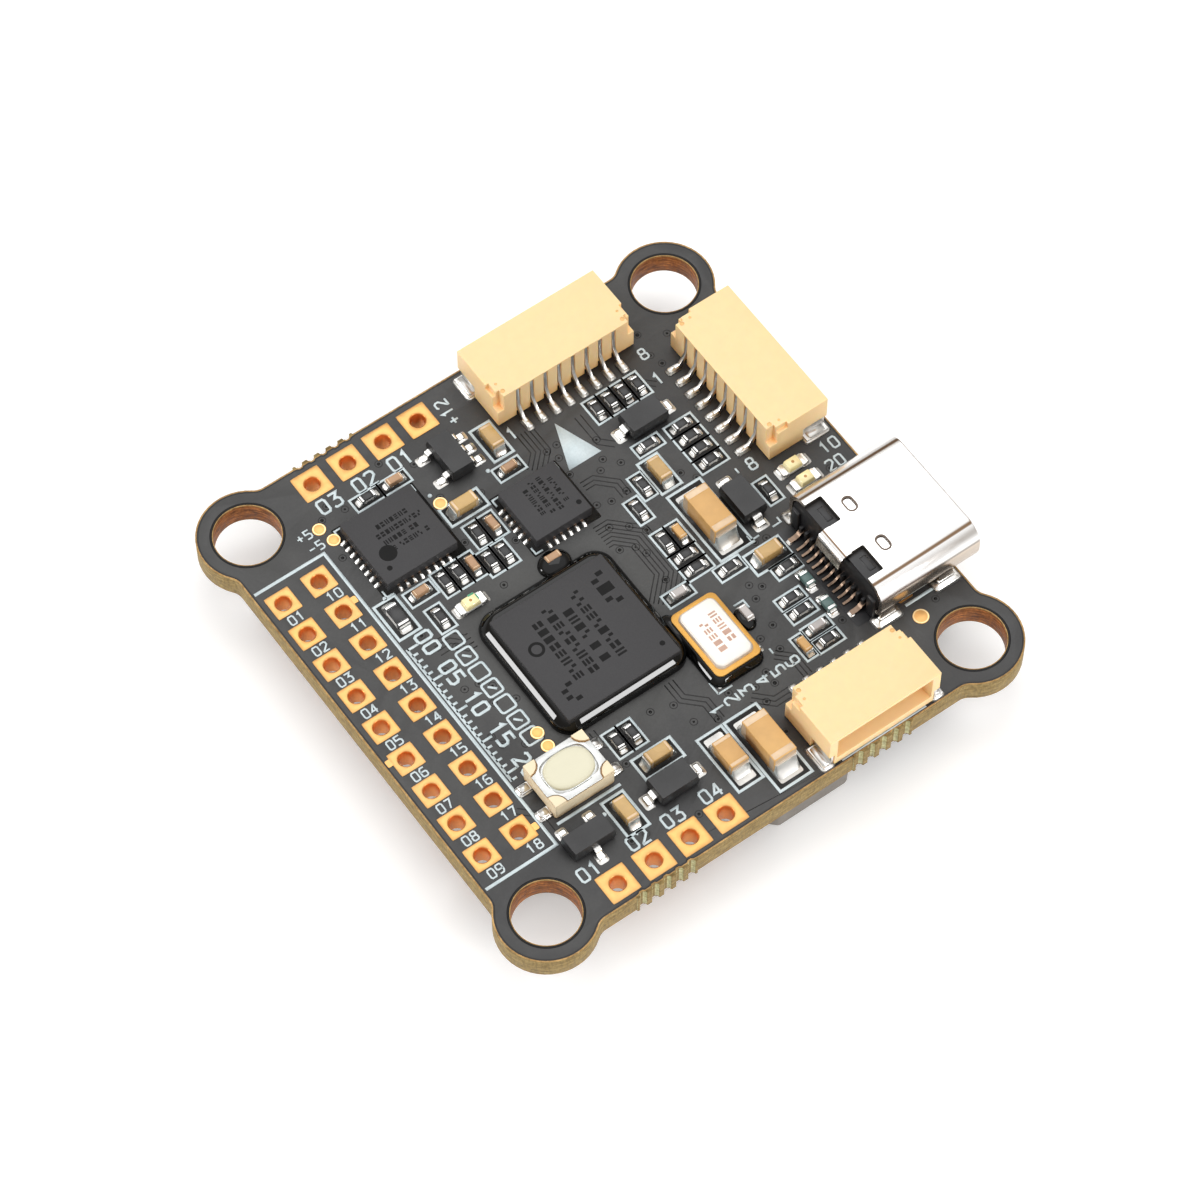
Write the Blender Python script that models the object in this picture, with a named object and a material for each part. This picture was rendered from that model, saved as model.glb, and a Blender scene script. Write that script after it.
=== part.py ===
"""Flight controller board: a 35 mm square circuit board with four mounting lugs, built up from its parts.

The origin is the centre of the 30.5 mm mounting pattern, on the board's underside. +Z points up from the
component side and +Y is the board's forward direction. Lengths are written in millimetres, and each mesh is
scaled to metres when its object is made.
"""

import math

import bmesh
import bpy
from mathutils import Matrix, Vector

MM = 0.001

# Board
BOARD_HALF = 17.45
BOARD_THICKNESS = 1.6
MOUNT_HALF_PITCH = 15.25
MOUNT_HOLE_RADIUS = 2.05
LUG_RADIUS = 3.1
LUG_BLEND_RADIUS = 1.0
REST_GAP = 0.03  # between the board and what is soldered to it
PLATED_HOLE_RADIUS = 0.5
PAD_PITCH = 2.54
HEADER_COLUMNS = (-16.12, -13.58)
HEADER_ROWS = 9
TOP_PADS = (-2.55, 15.95)
BOTTOM_PADS = (-3.27, -16.11)
EDGE_PADS = 4
TAB_PITCH = 0.85
TAB_HOLE_RADIUS = 0.26
TAB_STAND = 0.12
TAB_HOLES = 5
TAB_SHOULDER = 0.2  # laminate left past the last half hole
TOP_TAB_CENTRE = -8.4
BOTTOM_TAB_CENTRES = (-8.4, 7.0)

# 1.0 mm pitch side-entry ports: the local origin is the middle of the rear bottom edge, the mouth faces +Y
PORT_PITCH = 1.0
PORT_END = 1.5
PORT_DEPTH = 4.25
PORT_HEIGHT = 2.95
PORT_SIDE_WALL = 0.6
PORT_BACK_WALL = 0.9
PORT_FLOOR = 0.65
PORT_CEILING = 2.7
PORT_FOOT = 0.08
CONTACT_WIDTH = 0.2
CONTACT_SLOT = 0.3
PAST = 0.5  # how far a cutter runs past the face that it opens

# USB-C receptacle: the local origin is on the board under the rear of the shell, the mouth faces +X
USB_LENGTH = 7.3
USB_WIDTH = 8.94
USB_HEIGHT = 3.16
USB_WALL = 0.3
USB_CENTRE_Y = -6.83
USB_REAR_X = 11.5
USB_LEG_X = (0.55, 4.85)
USB_LEG_WIDTH = 1.0
USB_LEG_DEPTH = 1.3
USB_SLOT_LENGTH = 1.7
USB_SLOT_WIDTH = 0.6
USB_TONGUE = (3.35, 0.35, 6.5)  # half width, half thickness and reach
USB_OPENING = (1.15, 1.05, 3.05, 2.0)  # length, inner and outer Y, and floor of the two cuts in the rear top
USB_REAR_GAP = (1.2, 3.7, 0.6)  # length, half width and height of the gap that the contacts leave through

# Boot switch: the local origin is the middle of the base, on the board
SWITCH_CENTRE = (-9.29, -9.1)
SWITCH_HALF = (2.09, 1.65)
SWITCH_BASE_TOP = 1.25
SWITCH_WELL_FLOOR = 0.72
POST_RADIUS = 0.78
COVER_NOTCH_RADIUS = 0.83
COVER_THICKNESS = 0.12
BUTTON_HALF = (1.55, 1.17)
BUTTON_TOP = 1.7
BUTTON_FLANGE = 0.14
BUTTON_TRAVEL = 0.25
DOME_RADIUS = 1.0
DOME_FOOT = 0.5
DOME_HEIGHT = 0.36
DOME_THICKNESS = 0.06
STEM_RADIUS = 0.5
CLEARANCE = 0.03  # between the switch's pieces

# Chips
MCU_CENTRE = (-3.43, -2.5)
MCU_SIDE = 8.0
MCU_TOP = 1.22
UNDERFILL_CENTRE = (-3.42, -2.25)
UNDERFILL_HALF = (4.68, 4.75)
CRYSTAL_CENTRE = (3.0, -6.6)


def new_material(name, colour, roughness, metallic=0.0):
    material = bpy.data.materials.new(name)
    material.use_nodes = True
    shader = material.node_tree.nodes["Principled BSDF"]
    shader.inputs["Base Color"].default_value = (*colour, 1.0)
    shader.inputs["Roughness"].default_value = roughness
    shader.inputs["Metallic"].default_value = metallic
    return material


def clear_scene():
    for obj in list(bpy.data.objects):
        bpy.data.objects.remove(obj)


def add_box(bm, low, high):
    """A box between two corners."""
    size = Vector(high) - Vector(low)
    centre = (Vector(high) + Vector(low)) / 2
    matrix = Matrix.Translation(centre) @ Matrix.Diagonal((*size, 1.0))
    bmesh.ops.create_cube(bm, size=1.0, matrix=matrix)


def add_loft(bm, loops):
    """A closed solid through loops that have the same number of points."""
    rings = [[bm.verts.new(point) for point in loop] for loop in loops]
    for lower, upper in zip(rings, rings[1:]):
        for i in range(len(lower)):
            j = (i + 1) % len(lower)
            bm.faces.new((lower[i], lower[j], upper[j], upper[i]))
    bm.faces.new(rings[0][::-1])
    bm.faces.new(rings[-1])


def add_prism(bm, outline, low, high):
    """An outline in X and Y, extruded along Z."""
    add_loft(bm, [[(x, y, z) for x, y in outline] for z in (low, high)])


def add_side_prism(bm, outline, low, high):
    """An outline in Y and Z, extruded along X."""
    add_loft(bm, [[(x, y, z) for y, z in outline] for x in (low, high)])


def arc(centre, radius, start, end, steps):
    """Points along an arc, both ends included, with the angles in degrees."""
    angles = [math.radians(start + (end - start) * i / steps) for i in range(steps + 1)]
    return [(centre[0] + radius * math.cos(a), centre[1] + radius * math.sin(a)) for a in angles]


def circle(centre, radius, steps):
    return arc(centre, radius, 0, 360, steps)[:-1]


def rounded_rectangle(half_x, half_y, radius, steps, centre=(0.0, 0.0)):
    points = []
    for quarter, (sx, sy) in enumerate(((1, 1), (-1, 1), (-1, -1), (1, -1))):
        corner = (centre[0] + sx * (half_x - radius), centre[1] + sy * (half_y - radius))
        points += arc(corner, radius, 90 * quarter, 90 * quarter + 90, steps)
    return points


def oval(half_x, half_y, steps=8):
    """A rectangle whose ends are nearly half round, as on the button."""
    return rounded_rectangle(half_x, half_y, half_y * 0.92, steps)


def new_object(name, bm, material, location=(0, 0, 0), turn=0.0, flip=False, smooth=False):
    """The object of a mesh in millimetres. turn is about Z in degrees, and flip hangs it underneath."""
    bmesh.ops.recalc_face_normals(bm, faces=bm.faces)
    bmesh.ops.scale(bm, vec=(MM, MM, MM), verts=bm.verts)
    mesh = bpy.data.meshes.new(name)
    bm.to_mesh(mesh)
    bm.free()
    if smooth:
        mesh.shade_smooth()
        mesh.set_sharp_from_angle(angle=math.radians(40))
    obj = bpy.data.objects.new(name, mesh)
    bpy.context.scene.collection.objects.link(obj)
    if material:
        mesh.materials.append(material)
    obj.location = Vector(location) * MM
    obj.rotation_euler = (math.pi if flip else 0.0, 0.0, math.radians(turn))
    return obj


def add_helper(target, bm, operation):
    """Cuts the mesh from the target, or joins it to the target, with an exact Boolean."""
    helper = new_object(f"{target.name}_{operation.lower()}", bm, None)
    helper.parent = target
    helper.hide_render = True
    helper.display_type = "WIRE"
    boolean = target.modifiers.new(operation.title(), "BOOLEAN")
    boolean.operation = operation
    boolean.solver = "EXACT"
    boolean.use_self = True
    boolean.object = helper


def add_bevel(obj, width, segments=1):
    bevel = obj.modifiers.new("Bevel", "BEVEL")
    bevel.width = width * MM
    bevel.segments = segments
    bevel.limit_method = "ANGLE"
    bevel.angle_limit = math.radians(40)


def on_board(x, y):
    """A place on the component side."""
    return (x, y, BOARD_THICKNESS)


# ---------------------------------------------------------------- circuit board


def lug_outline(turn):
    """The +X +Y corner, turned: a concave blend, the round lug and the second blend."""
    rise = BOARD_HALF + LUG_BLEND_RADIUS - MOUNT_HALF_PITCH
    reach = math.sqrt((LUG_RADIUS + LUG_BLEND_RADIUS) ** 2 - rise**2)
    tangent = math.degrees(math.atan2(rise, -reach))
    far = BOARD_HALF + LUG_BLEND_RADIUS
    near = MOUNT_HALF_PITCH - reach
    corner = (MOUNT_HALF_PITCH, MOUNT_HALF_PITCH)
    points = arc((far, near), LUG_BLEND_RADIUS, 180, 270 - tangent, 5)
    points += arc(corner, LUG_RADIUS, 90 - tangent, tangent, 22)[1:-1]
    points += arc((near, far), LUG_BLEND_RADIUS, tangent - 180, -90, 5)
    cosine, sine = math.cos(math.radians(turn)), math.sin(math.radians(turn))
    return [(x * cosine - y * sine, x * sine + y * cosine) for x, y in points]


def tab_remnant(centre, side):
    """A broken-off panel tab on the top (side 1) or bottom (side -1) edge, with its row of half holes."""
    half = (TAB_HOLES - 1) / 2 * TAB_PITCH + TAB_HOLE_RADIUS + TAB_SHOULDER
    stand = BOARD_HALF + TAB_STAND
    crest = half - 0.05
    points = [(half, BOARD_HALF), (crest, stand)]
    for i in range(TAB_HOLES):
        hole = ((TAB_HOLES - 1) / 2 - i) * TAB_PITCH
        points += arc((hole, stand), TAB_HOLE_RADIUS, 0, -180, 5)
    points += [(-crest, stand), (-half, BOARD_HALF)]
    return [(centre + side * x, side * y) for x, y in points]


def board_outline():
    """The outline, anticlockwise from the right edge."""
    points = lug_outline(0)
    points += tab_remnant(TOP_TAB_CENTRE, 1)
    points += lug_outline(90)
    points += lug_outline(180)
    for centre in BOTTOM_TAB_CENTRES:
        points += tab_remnant(centre, -1)
    points += lug_outline(270)
    return points


def plated_holes():
    """Centres of the plated holes: the two header columns and the two rows of edge pads."""
    rows = [PAD_PITCH * (i - (HEADER_ROWS - 1) / 2) for i in range(HEADER_ROWS)]
    holes = [(x, y) for x in HEADER_COLUMNS for y in rows]
    for x, y in (TOP_PADS, BOTTOM_PADS):
        holes += [(x - PAD_PITCH * i, y) for i in range(EDGE_PADS)]
    return holes


def make_board(material):
    bm = bmesh.new()
    add_prism(bm, board_outline(), 0, BOARD_THICKNESS)
    board = new_object("circuit_board", bm, material)
    cutter = bmesh.new()
    below, above = -1.0, BOARD_THICKNESS + 1.0
    for x in (-MOUNT_HALF_PITCH, MOUNT_HALF_PITCH):
        for y in (-MOUNT_HALF_PITCH, MOUNT_HALF_PITCH):
            add_prism(cutter, circle((x, y), MOUNT_HOLE_RADIUS, 32), below, above)
    for centre in plated_holes():
        add_prism(cutter, circle(centre, PLATED_HOLE_RADIUS, 10), below, above)
    for x in USB_LEG_X:
        for side in (-1, 1):
            centre = (USB_REAR_X + x, USB_CENTRE_Y + side * (USB_WIDTH - USB_WALL) / 2)
            slot = rounded_rectangle(USB_SLOT_LENGTH / 2, USB_SLOT_WIDTH / 2, USB_SLOT_WIDTH / 2.1, 3, centre)
            add_prism(cutter, slot, below, above)
    add_helper(board, cutter, "DIFFERENCE")


# ---------------------------------------------------------------- wire-to-board ports


def contact_places(circuits):
    return [PORT_PITCH * (i - (circuits - 1) / 2) for i in range(circuits)]


def make_port_housing(name, circuits, location, turn, material):
    half = (circuits - 1) / 2 * PORT_PITCH + PORT_END
    bm = bmesh.new()
    add_box(bm, (-half, 0, PORT_FOOT), (half, PORT_DEPTH, PORT_HEIGHT))
    housing = new_object(name, bm, material, location, turn)
    cutter = bmesh.new()
    inside = half - PORT_SIDE_WALL
    mouth = PORT_DEPTH + PAST
    above = PORT_HEIGHT + 1.0
    add_box(cutter, (-inside, PORT_BACK_WALL, PORT_FLOOR), (inside, mouth, PORT_CEILING))
    for side in (-1, 1):
        end = side * (half + PAST)
        rear_step = (side * (half - 0.45), -PAST, 1.5), (end, 0.55, above)
        shoulder = (side * (half - 0.22), 0.4, 2.5), (end, 1.3, above)
        tab_recess = (side * (half - 0.4), 2.5, -PAST), (end, mouth, 1.15)
        for corners in (rear_step, shoulder, tab_recess):
            add_box(cutter, *sorted_corners(*corners))
    slot = [(-PAST, -PAST), (0.2, -PAST), (0.32, 1.4), (1.2, 1.4)]
    slot += [(1.2, 1.8), (0.4, 1.8), (0.45, 2.8), (-PAST, 2.8)]
    for x in contact_places(circuits):
        add_side_prism(cutter, slot, x - CONTACT_SLOT / 2, x + CONTACT_SLOT / 2)
    add_helper(housing, cutter, "DIFFERENCE")


def sorted_corners(a, b):
    low = tuple(min(p, q) for p, q in zip(a, b))
    high = tuple(max(p, q) for p, q in zip(a, b))
    return low, high


def make_port_contacts(name, circuits, location, turn, material):
    """Bent pins, one for each circuit, held by a carrier bar deep inside the cavity."""
    profile = [
        (3.4, 1.48), (3.4, 1.68), (0.28, 1.7), (0.36, 2.7), (0.1, 2.7), (-0.02, 1.1),
        (-0.5, 0.32), (-1.15, 0.22), (-1.15, REST_GAP), (-0.35, REST_GAP), (0.17, 0.95), (0.24, 1.48),
    ]
    bm = bmesh.new()
    for x in contact_places(circuits):
        add_side_prism(bm, profile, x - CONTACT_WIDTH / 2, x + CONTACT_WIDTH / 2)
    half = (circuits - 1) / 2 * PORT_PITCH
    contacts = new_object(name, bm, material, location, turn)
    bar = bmesh.new()
    add_box(bar, (-half, PORT_BACK_WALL + 0.03, 1.52), (half, PORT_BACK_WALL + 0.2, 1.64))
    add_helper(contacts, bar, "UNION")


def make_port_tab(name, circuits, side, location, turn, material):
    """The L-shaped solder tab in the recess at one end of the housing."""
    half = (circuits - 1) / 2 * PORT_PITCH + PORT_END
    profile = [(-0.35, 1.08), (-0.35, REST_GAP), (0.33, REST_GAP), (0.33, 0.2), (-0.17, 0.2), (-0.17, 1.08)]
    bm = bmesh.new()
    loops = [[(side * (half + x), y, z) for x, z in profile] for y in (2.58, PORT_DEPTH - 0.05)]
    add_loft(bm, loops)
    new_object(name, bm, material, location, turn)


def make_ports(materials):
    ports = (
        ("port_a", 8, on_board(6.15, 12.78), 0),
        ("port_b", 8, on_board(12.88, 6.4), -90),
        ("port_c", 6, on_board(7.25, -12.97), 180),
    )
    for name, circuits, location, turn in ports:
        make_port_housing(f"{name}_housing", circuits, location, turn, materials["port_plastic"])
        make_port_contacts(f"{name}_contacts", circuits, location, turn, materials["tin"])
        for side, word in ((-1, "left"), (1, "right")):
            make_port_tab(f"{name}_{word}_solder_tab", circuits, side, location, turn, materials["tin"])


# ---------------------------------------------------------------- USB-C receptacle


def usb_ring(inset, steps=6):
    """The shell's section, in Y and Z, moved in by inset."""
    half_y = USB_WIDTH / 2 - inset
    half_z = USB_HEIGHT / 2 - inset
    centre = (0.0, REST_GAP + USB_HEIGHT / 2)
    return rounded_rectangle(half_y, half_z, half_z - 0.02, steps, centre)


def make_usb(materials):
    location = on_board(USB_REAR_X, USB_CENTRE_Y)
    bm = bmesh.new()
    add_side_prism(bm, usb_ring(0), 0, USB_LENGTH)
    shell = new_object("usb_shell", bm, materials["steel"], location, smooth=True)
    cutter = bmesh.new()
    add_side_prism(cutter, usb_ring(USB_WALL), -PAST, USB_LENGTH + PAST)
    length, inner, outer, floor = USB_OPENING
    for side in (-1, 1):
        opening = (-PAST, side * inner, floor), (length, side * outer, USB_HEIGHT + 0.84)
        add_box(cutter, *sorted_corners(*opening))
    length, half_width, height = USB_REAR_GAP
    add_box(cutter, (-PAST, -half_width, -PAST), (length, half_width, height))
    add_helper(shell, cutter, "DIFFERENCE")
    legs = bmesh.new()
    for x in USB_LEG_X:
        for side in (-1, 1):
            outer, inner = side * (USB_WIDTH / 2 - 0.01), side * (USB_WIDTH / 2 - 0.24)
            low, high = x - USB_LEG_WIDTH / 2, x + USB_LEG_WIDTH / 2
            add_box(legs, *sorted_corners((low, inner, -USB_LEG_DEPTH), (high, outer, 1.6)))
    add_helper(shell, legs, "UNION")

    half_y, half_z, reach = USB_TONGUE
    middle = REST_GAP + USB_HEIGHT / 2
    bm = bmesh.new()
    add_side_prism(bm, usb_ring(USB_WALL + 0.05), -0.25, 1.4)
    insulator = new_object("usb_insulator", bm, materials["black_plastic"], location)
    tongue = bmesh.new()
    add_box(tongue, (1.0, -half_y, middle - half_z), (reach, half_y, middle + half_z))
    add_helper(insulator, tongue, "UNION")

    bm = bmesh.new()
    bar_low, bar_high = 0.25, 0.45
    signal = [(0.5 * (i - 3.5), 0.25) for i in range(8)]
    power = [(side * y, 0.5) for side in (-1, 1) for y in (2.4, 3.2)]
    for y, width in signal + power:
        add_box(bm, (-0.75, y - width / 2, REST_GAP), (bar_high - 0.05, y + width / 2, REST_GAP + 0.13))
    contacts = new_object("usb_contacts", bm, materials["gold"], location)
    bar = bmesh.new()
    add_box(bar, (bar_low, -3.4, REST_GAP + 0.02), (bar_high, 3.4, REST_GAP + 0.11))
    add_helper(contacts, bar, "UNION")


# ---------------------------------------------------------------- boot switch


def make_switch(materials):
    """Base, snap dome, plunger, cover and two terminal frames. Only the plunger moves, straight down."""
    location = on_board(*SWITCH_CENTRE)
    half_x, half_y = SWITCH_HALF
    bm = bmesh.new()
    add_prism(bm, rounded_rectangle(half_x, half_y, 0.15, 2), 0.06, SWITCH_BASE_TOP)
    base = new_object("boot_switch_base", bm, materials["switch_plastic"], location)
    posts = bmesh.new()
    for sx in (-1, 1):
        for sy in (-1, 1):
            post = circle((sx * half_x, sy * half_y), POST_RADIUS, 16)
            limit_x, limit_y = half_x - 0.02, half_y - 0.02
            clipped = [(max(-limit_x, min(limit_x, x)), max(-limit_y, min(limit_y, y))) for x, y in post]
            kept = [p for i, p in enumerate(clipped) if p != clipped[i - 1]]
            add_prism(posts, kept, 0.8, SWITCH_BASE_TOP + COVER_THICKNESS + 0.1)
    add_helper(base, posts, "UNION")
    cutter = bmesh.new()
    well_wall = BUTTON_FLANGE + 0.05
    well = oval(BUTTON_HALF[0] + well_wall, BUTTON_HALF[1] + well_wall)
    above = SWITCH_BASE_TOP + 1.75
    add_prism(cutter, well, SWITCH_WELL_FLOOR, above)
    add_prism(cutter, circle((0, 0), DOME_RADIUS + 0.08, 24), DOME_FOOT - 0.02, SWITCH_WELL_FLOOR + 0.18)
    for side in (-1, 1):
        terminal_recess = (side * 1.5, -1.35, -PAST), (side * 3.0, 1.35, 0.24)
        add_box(cutter, *sorted_corners(*terminal_recess))
    add_helper(base, cutter, "DIFFERENCE")

    bm = bmesh.new()
    make_dome(bm)
    new_object("boot_switch_dome", bm, materials["steel"], location, smooth=True)

    bm = bmesh.new()
    flange = oval(BUTTON_HALF[0] + BUTTON_FLANGE, BUTTON_HALF[1] + BUTTON_FLANGE)
    body = oval(*BUTTON_HALF)
    crown = oval(BUTTON_HALF[0] - 0.08, BUTTON_HALF[1] - 0.08)
    stem = oval(STEM_RADIUS, STEM_RADIUS - 0.0005)
    flange_foot = SWITCH_WELL_FLOOR + BUTTON_TRAVEL + CLEARANCE
    levels = (
        (stem, DOME_FOOT + DOME_HEIGHT + CLEARANCE),
        (stem, flange_foot),
        (flange, flange_foot),
        (flange, SWITCH_BASE_TOP - 0.05),
        (body, SWITCH_BASE_TOP - 0.05),
        (body, BUTTON_TOP - 0.08),
        (crown, BUTTON_TOP),
    )
    add_loft(bm, [[(x, y, z) for x, y in outline] for outline, z in levels])
    new_object("boot_button", bm, materials["switch_plastic"], location, smooth=True)

    bm = bmesh.new()
    plate = []
    for quarter, (sx, sy) in enumerate(((1, 1), (-1, 1), (-1, -1), (1, -1))):
        corner = (sx * (half_x - 0.02), sy * (half_y - 0.02))
        start = 270 + 90 * quarter
        plate += arc(corner, COVER_NOTCH_RADIUS, start, start - 90, 4)
    low = SWITCH_BASE_TOP + 0.02
    add_prism(bm, plate, low, low + COVER_THICKNESS)
    cover = new_object("boot_switch_cover", bm, materials["steel"], location)
    hole = bmesh.new()
    add_prism(hole, oval(BUTTON_HALF[0] + 0.06, BUTTON_HALF[1] + 0.06), 0.5, above)
    add_helper(cover, hole, "DIFFERENCE")

    for side, word in ((-1, "left"), (1, "right")):
        outline = [(1.65, -1.28), (2.78, -1.28), (2.78, -0.68), (2.0, -0.68)]
        outline += [(2.0, 0.68), (2.78, 0.68), (2.78, 1.28), (1.65, 1.28)]
        bm = bmesh.new()
        add_prism(bm, [(side * x, y) for x, y in outline], REST_GAP, REST_GAP + 0.17)
        new_object(f"boot_switch_{word}_terminals", bm, materials["tin"], location)


def make_dome(bm):
    """A thin shallow dome: upper and lower surfaces that meet in a ring at its foot."""
    rings = 3
    steps = 24
    crown_radius = 0.15
    loops = []
    for i in range(rings + 1):
        share = i / rings
        radius = DOME_RADIUS * (1 - share) + crown_radius * share
        rise = (DOME_HEIGHT - DOME_THICKNESS) * (1 - (radius / DOME_RADIUS) ** 2)
        loops.append([(x, y, DOME_FOOT + DOME_THICKNESS + rise) for x, y in circle((0, 0), radius, steps)])
    lower = [[(x, y, z - DOME_THICKNESS) for x, y, z in loop] for loop in loops]
    add_loft(bm, lower[::-1] + loops)


# ---------------------------------------------------------------- chips


def add_rounded_block(name, half, levels, radius, material, location, bevel=0.05):
    """A block with rounded corners, between two levels above the board."""
    bm = bmesh.new()
    add_prism(bm, rounded_rectangle(*half, radius, 2), *levels)
    block = new_object(name, bm, material, location)
    if bevel:
        add_bevel(block, bevel)


def make_block(name, size, material, location, turn=0.0, flip=False, bevel=0.04):
    """A plain packaged part: a box that stands on the board, with its edges broken."""
    bm = bmesh.new()
    add_box(bm, (-size[0] / 2, -size[1] / 2, REST_GAP), (size[0] / 2, size[1] / 2, size[2]))
    block = new_object(name, bm, material, location, turn, flip)
    add_bevel(block, bevel)


def make_leaded(name, size, leads, material, location, turn=0.0, flip=False):
    """A moulded body with gull-wing leads. Each lead is (x, side, width, reach) with side -1 or 1 along Y."""
    bm = bmesh.new()
    add_box(bm, (-size[0] / 2, -size[1] / 2, 0.1), (size[0] / 2, size[1] / 2, size[2]))
    body = new_object(name, bm, material, location, turn, flip)
    joined = bmesh.new()
    half = size[1] / 2
    knee = size[2] * 0.5
    for x, side, width, reach in leads:
        profile = [
            (half - 0.1, knee - 0.07), (half - 0.1, knee + 0.07), (half + 0.2, knee + 0.07),
            (half + reach * 0.6, 0.19), (half + reach, 0.17), (half + reach, REST_GAP),
            (half + reach * 0.4, REST_GAP),
        ]
        loops = [[(x + shift, side * y, z) for y, z in profile] for shift in (-width / 2, width / 2)]
        add_loft(joined, loops)
    add_helper(body, joined, "UNION")


def make_chips(materials):
    black = materials["chip_plastic"]
    mcu_place = on_board(*MCU_CENTRE)
    half = MCU_SIDE / 2
    add_rounded_block("microcontroller", (half, half), (0.12, MCU_TOP), 0.1, black, mcu_place)

    bm = bmesh.new()
    foot_x, foot_y = UNDERFILL_HALF
    levels = ((0.0, 0.0), (0.0, 0.22), (0.35, 0.75), (0.62, 1.0))
    loops = []
    for inset, rise in levels:
        ring = rounded_rectangle(foot_x - inset, foot_y - inset, 1.1 - inset * 0.5, 4, UNDERFILL_CENTRE)
        loops.append([(x, y, BOARD_THICKNESS + REST_GAP + rise) for x, y in ring])
    add_loft(bm, loops)
    underfill = new_object("microcontroller_underfill", bm, materials["epoxy"], smooth=True)
    cutter = bmesh.new()
    clear = half + REST_GAP
    low = (MCU_CENTRE[0] - clear, MCU_CENTRE[1] - clear, 0)
    high = (MCU_CENTRE[0] + clear, MCU_CENTRE[1] + clear, 5)
    add_box(cutter, low, high)
    add_helper(underfill, cutter, "DIFFERENCE")

    crystal = on_board(*CRYSTAL_CENTRE)
    seam = 0.72
    add_rounded_block("crystal_base", (1.6, 2.5), (REST_GAP, seam), 0.3, materials["gold"], crystal, bevel=0)
    add_rounded_block("crystal_lid", (1.32, 2.2), (seam + 0.02, 1.0), 0.4, materials["lid"], crystal)

    make_block("radio_chip", (5.0, 5.0, 0.88), black, on_board(-8.2, 9.7))
    make_block("motion_sensor", (4.0, 4.0, 0.92), black, on_board(0.1, 6.5))
    five = [(x, 1, 0.4, 0.6) for x in (-0.95, 0.0, 0.95)] + [(x, -1, 0.4, 0.6) for x in (-0.95, 0.95)]
    make_leaded("five_pin_regulator", (2.9, 1.6, 1.1), five, black, on_board(-2.55, 12.5), turn=-90)
    three = [(-0.95, 1, 0.42, 0.55), (0.95, 1, 0.42, 0.55), (0.0, -1, 0.42, 0.55)]
    make_leaded("three_pin_regulator", (2.9, 1.5, 1.05), three, black, on_board(-10.7, -13.0))
    strap = [(0.0, 1, 0.6, 0.5), (0.0, -1, 0.6, 0.5)]
    diodes = (((8.4, 8.0), 90), ((9.8, -0.1), 0), ((-4.7, -12.9), 90))
    for word, (place, turn) in zip(("a", "b", "c"), diodes):
        make_leaded(f"diode_{word}", (1.7, 2.65, 1.05), strap, black, on_board(*place), turn)


def make_passives(materials):
    """Capacitors, a resistor, LEDs and protection arrays. Each row is size, places and turns."""
    brown = materials["capacitor"]
    make_block("capacitor_1206_a", (1.6, 3.2, 1.62), brown, on_board(7.5, 0.1), bevel=0.08)
    make_block("capacitor_1206_b", (1.6, 3.2, 1.62), brown, on_board(1.25, -14.1), bevel=0.08)
    make_block("capacitor_0805", (1.25, 2.0, 1.05), brown, on_board(-0.98, -13.4), bevel=0.06)
    small = (
        ((0.2, 12.15), 0),
        ((-3.75, 9.35), 90),
        ((7.02, 4.48), 0),
        ((8.92, -3.82), 90),
        ((-7.95, -12.78), 0),
        ((-4.32, -10.95), 90),
    )
    for number, (place, turn) in enumerate(small, 1):
        make_block(f"capacitor_0603_{number}", (0.82, 1.6, 0.85), brown, on_board(*place), turn)
    make_block("resistor_0603", (0.82, 1.6, 0.48), materials["resistor"], on_board(-11.25, 5.45))
    lights = (
        ("status_led_left", (-7.25, 3.65)),
        ("power_led", (13.75, 0.25)),
        ("status_led_right", (13.75, -1.0)),
    )
    for name, place in lights:
        make_block(name, (1.6, 0.8, 0.6), materials["led"], on_board(*place))
    for word, y in (("a", -6.55), ("b", -8.6)):
        make_block(f"usb_protection_{word}", (0.6, 1.0, 0.5), materials["chip_plastic"], on_board(9.7, y))


def make_underside(materials):
    """Power stage, memory, barometer and video chip on the side that faces down."""
    black = materials["chip_plastic"]
    coils = (("power_inductor_a", (2.6, -14.05), 0), ("power_inductor_b", (-2.4, 12.6), 90))
    for name, place, turn in coils:
        bm = bmesh.new()
        add_prism(bm, rounded_rectangle(2.95, 2.8, 0.5, 1), REST_GAP, 2.8)
        inductor = new_object(name, bm, materials["ferrite"], (*place, 0), turn, flip=True)
        add_bevel(inductor, 0.12)
    leads = [(0.65 * (i - 6.5), side, 0.25, 0.9) for i in range(14) for side in (-1, 1)]
    make_leaded("video_overlay_chip", (9.7, 4.4, 1.05), leads, black, (-9.2, -4.6, 0), 90, flip=True)
    six = [(x, side, 0.4, 0.6) for x in (-0.95, 0.0, 0.95) for side in (-1, 1)]
    make_leaded("step_down_converter_a", (2.9, 1.6, 1.05), six, black, (8.6, -12.9, 0), 0, flip=True)
    make_leaded("step_down_converter_b", (2.9, 1.6, 1.05), six, black, (-8.6, 12.9, 0), 0, flip=True)
    make_block("flash_memory", (6.0, 8.0, 0.78), black, (8.8, 2.6, 0), 90, flip=True)
    make_block("barometer", (2.0, 2.5, 0.95), materials["lid"], (-8.8, 5.4, 0), 0, flip=True)
    make_block("input_capacitor_a", (2.5, 3.2, 2.0), materials["capacitor"], (8.2, -8.2, 0), 90, True, 0.1)
    make_block("input_capacitor_b", (2.5, 3.2, 2.0), materials["capacitor"], (4.6, 12.6, 0), 0, True, 0.1)


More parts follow.
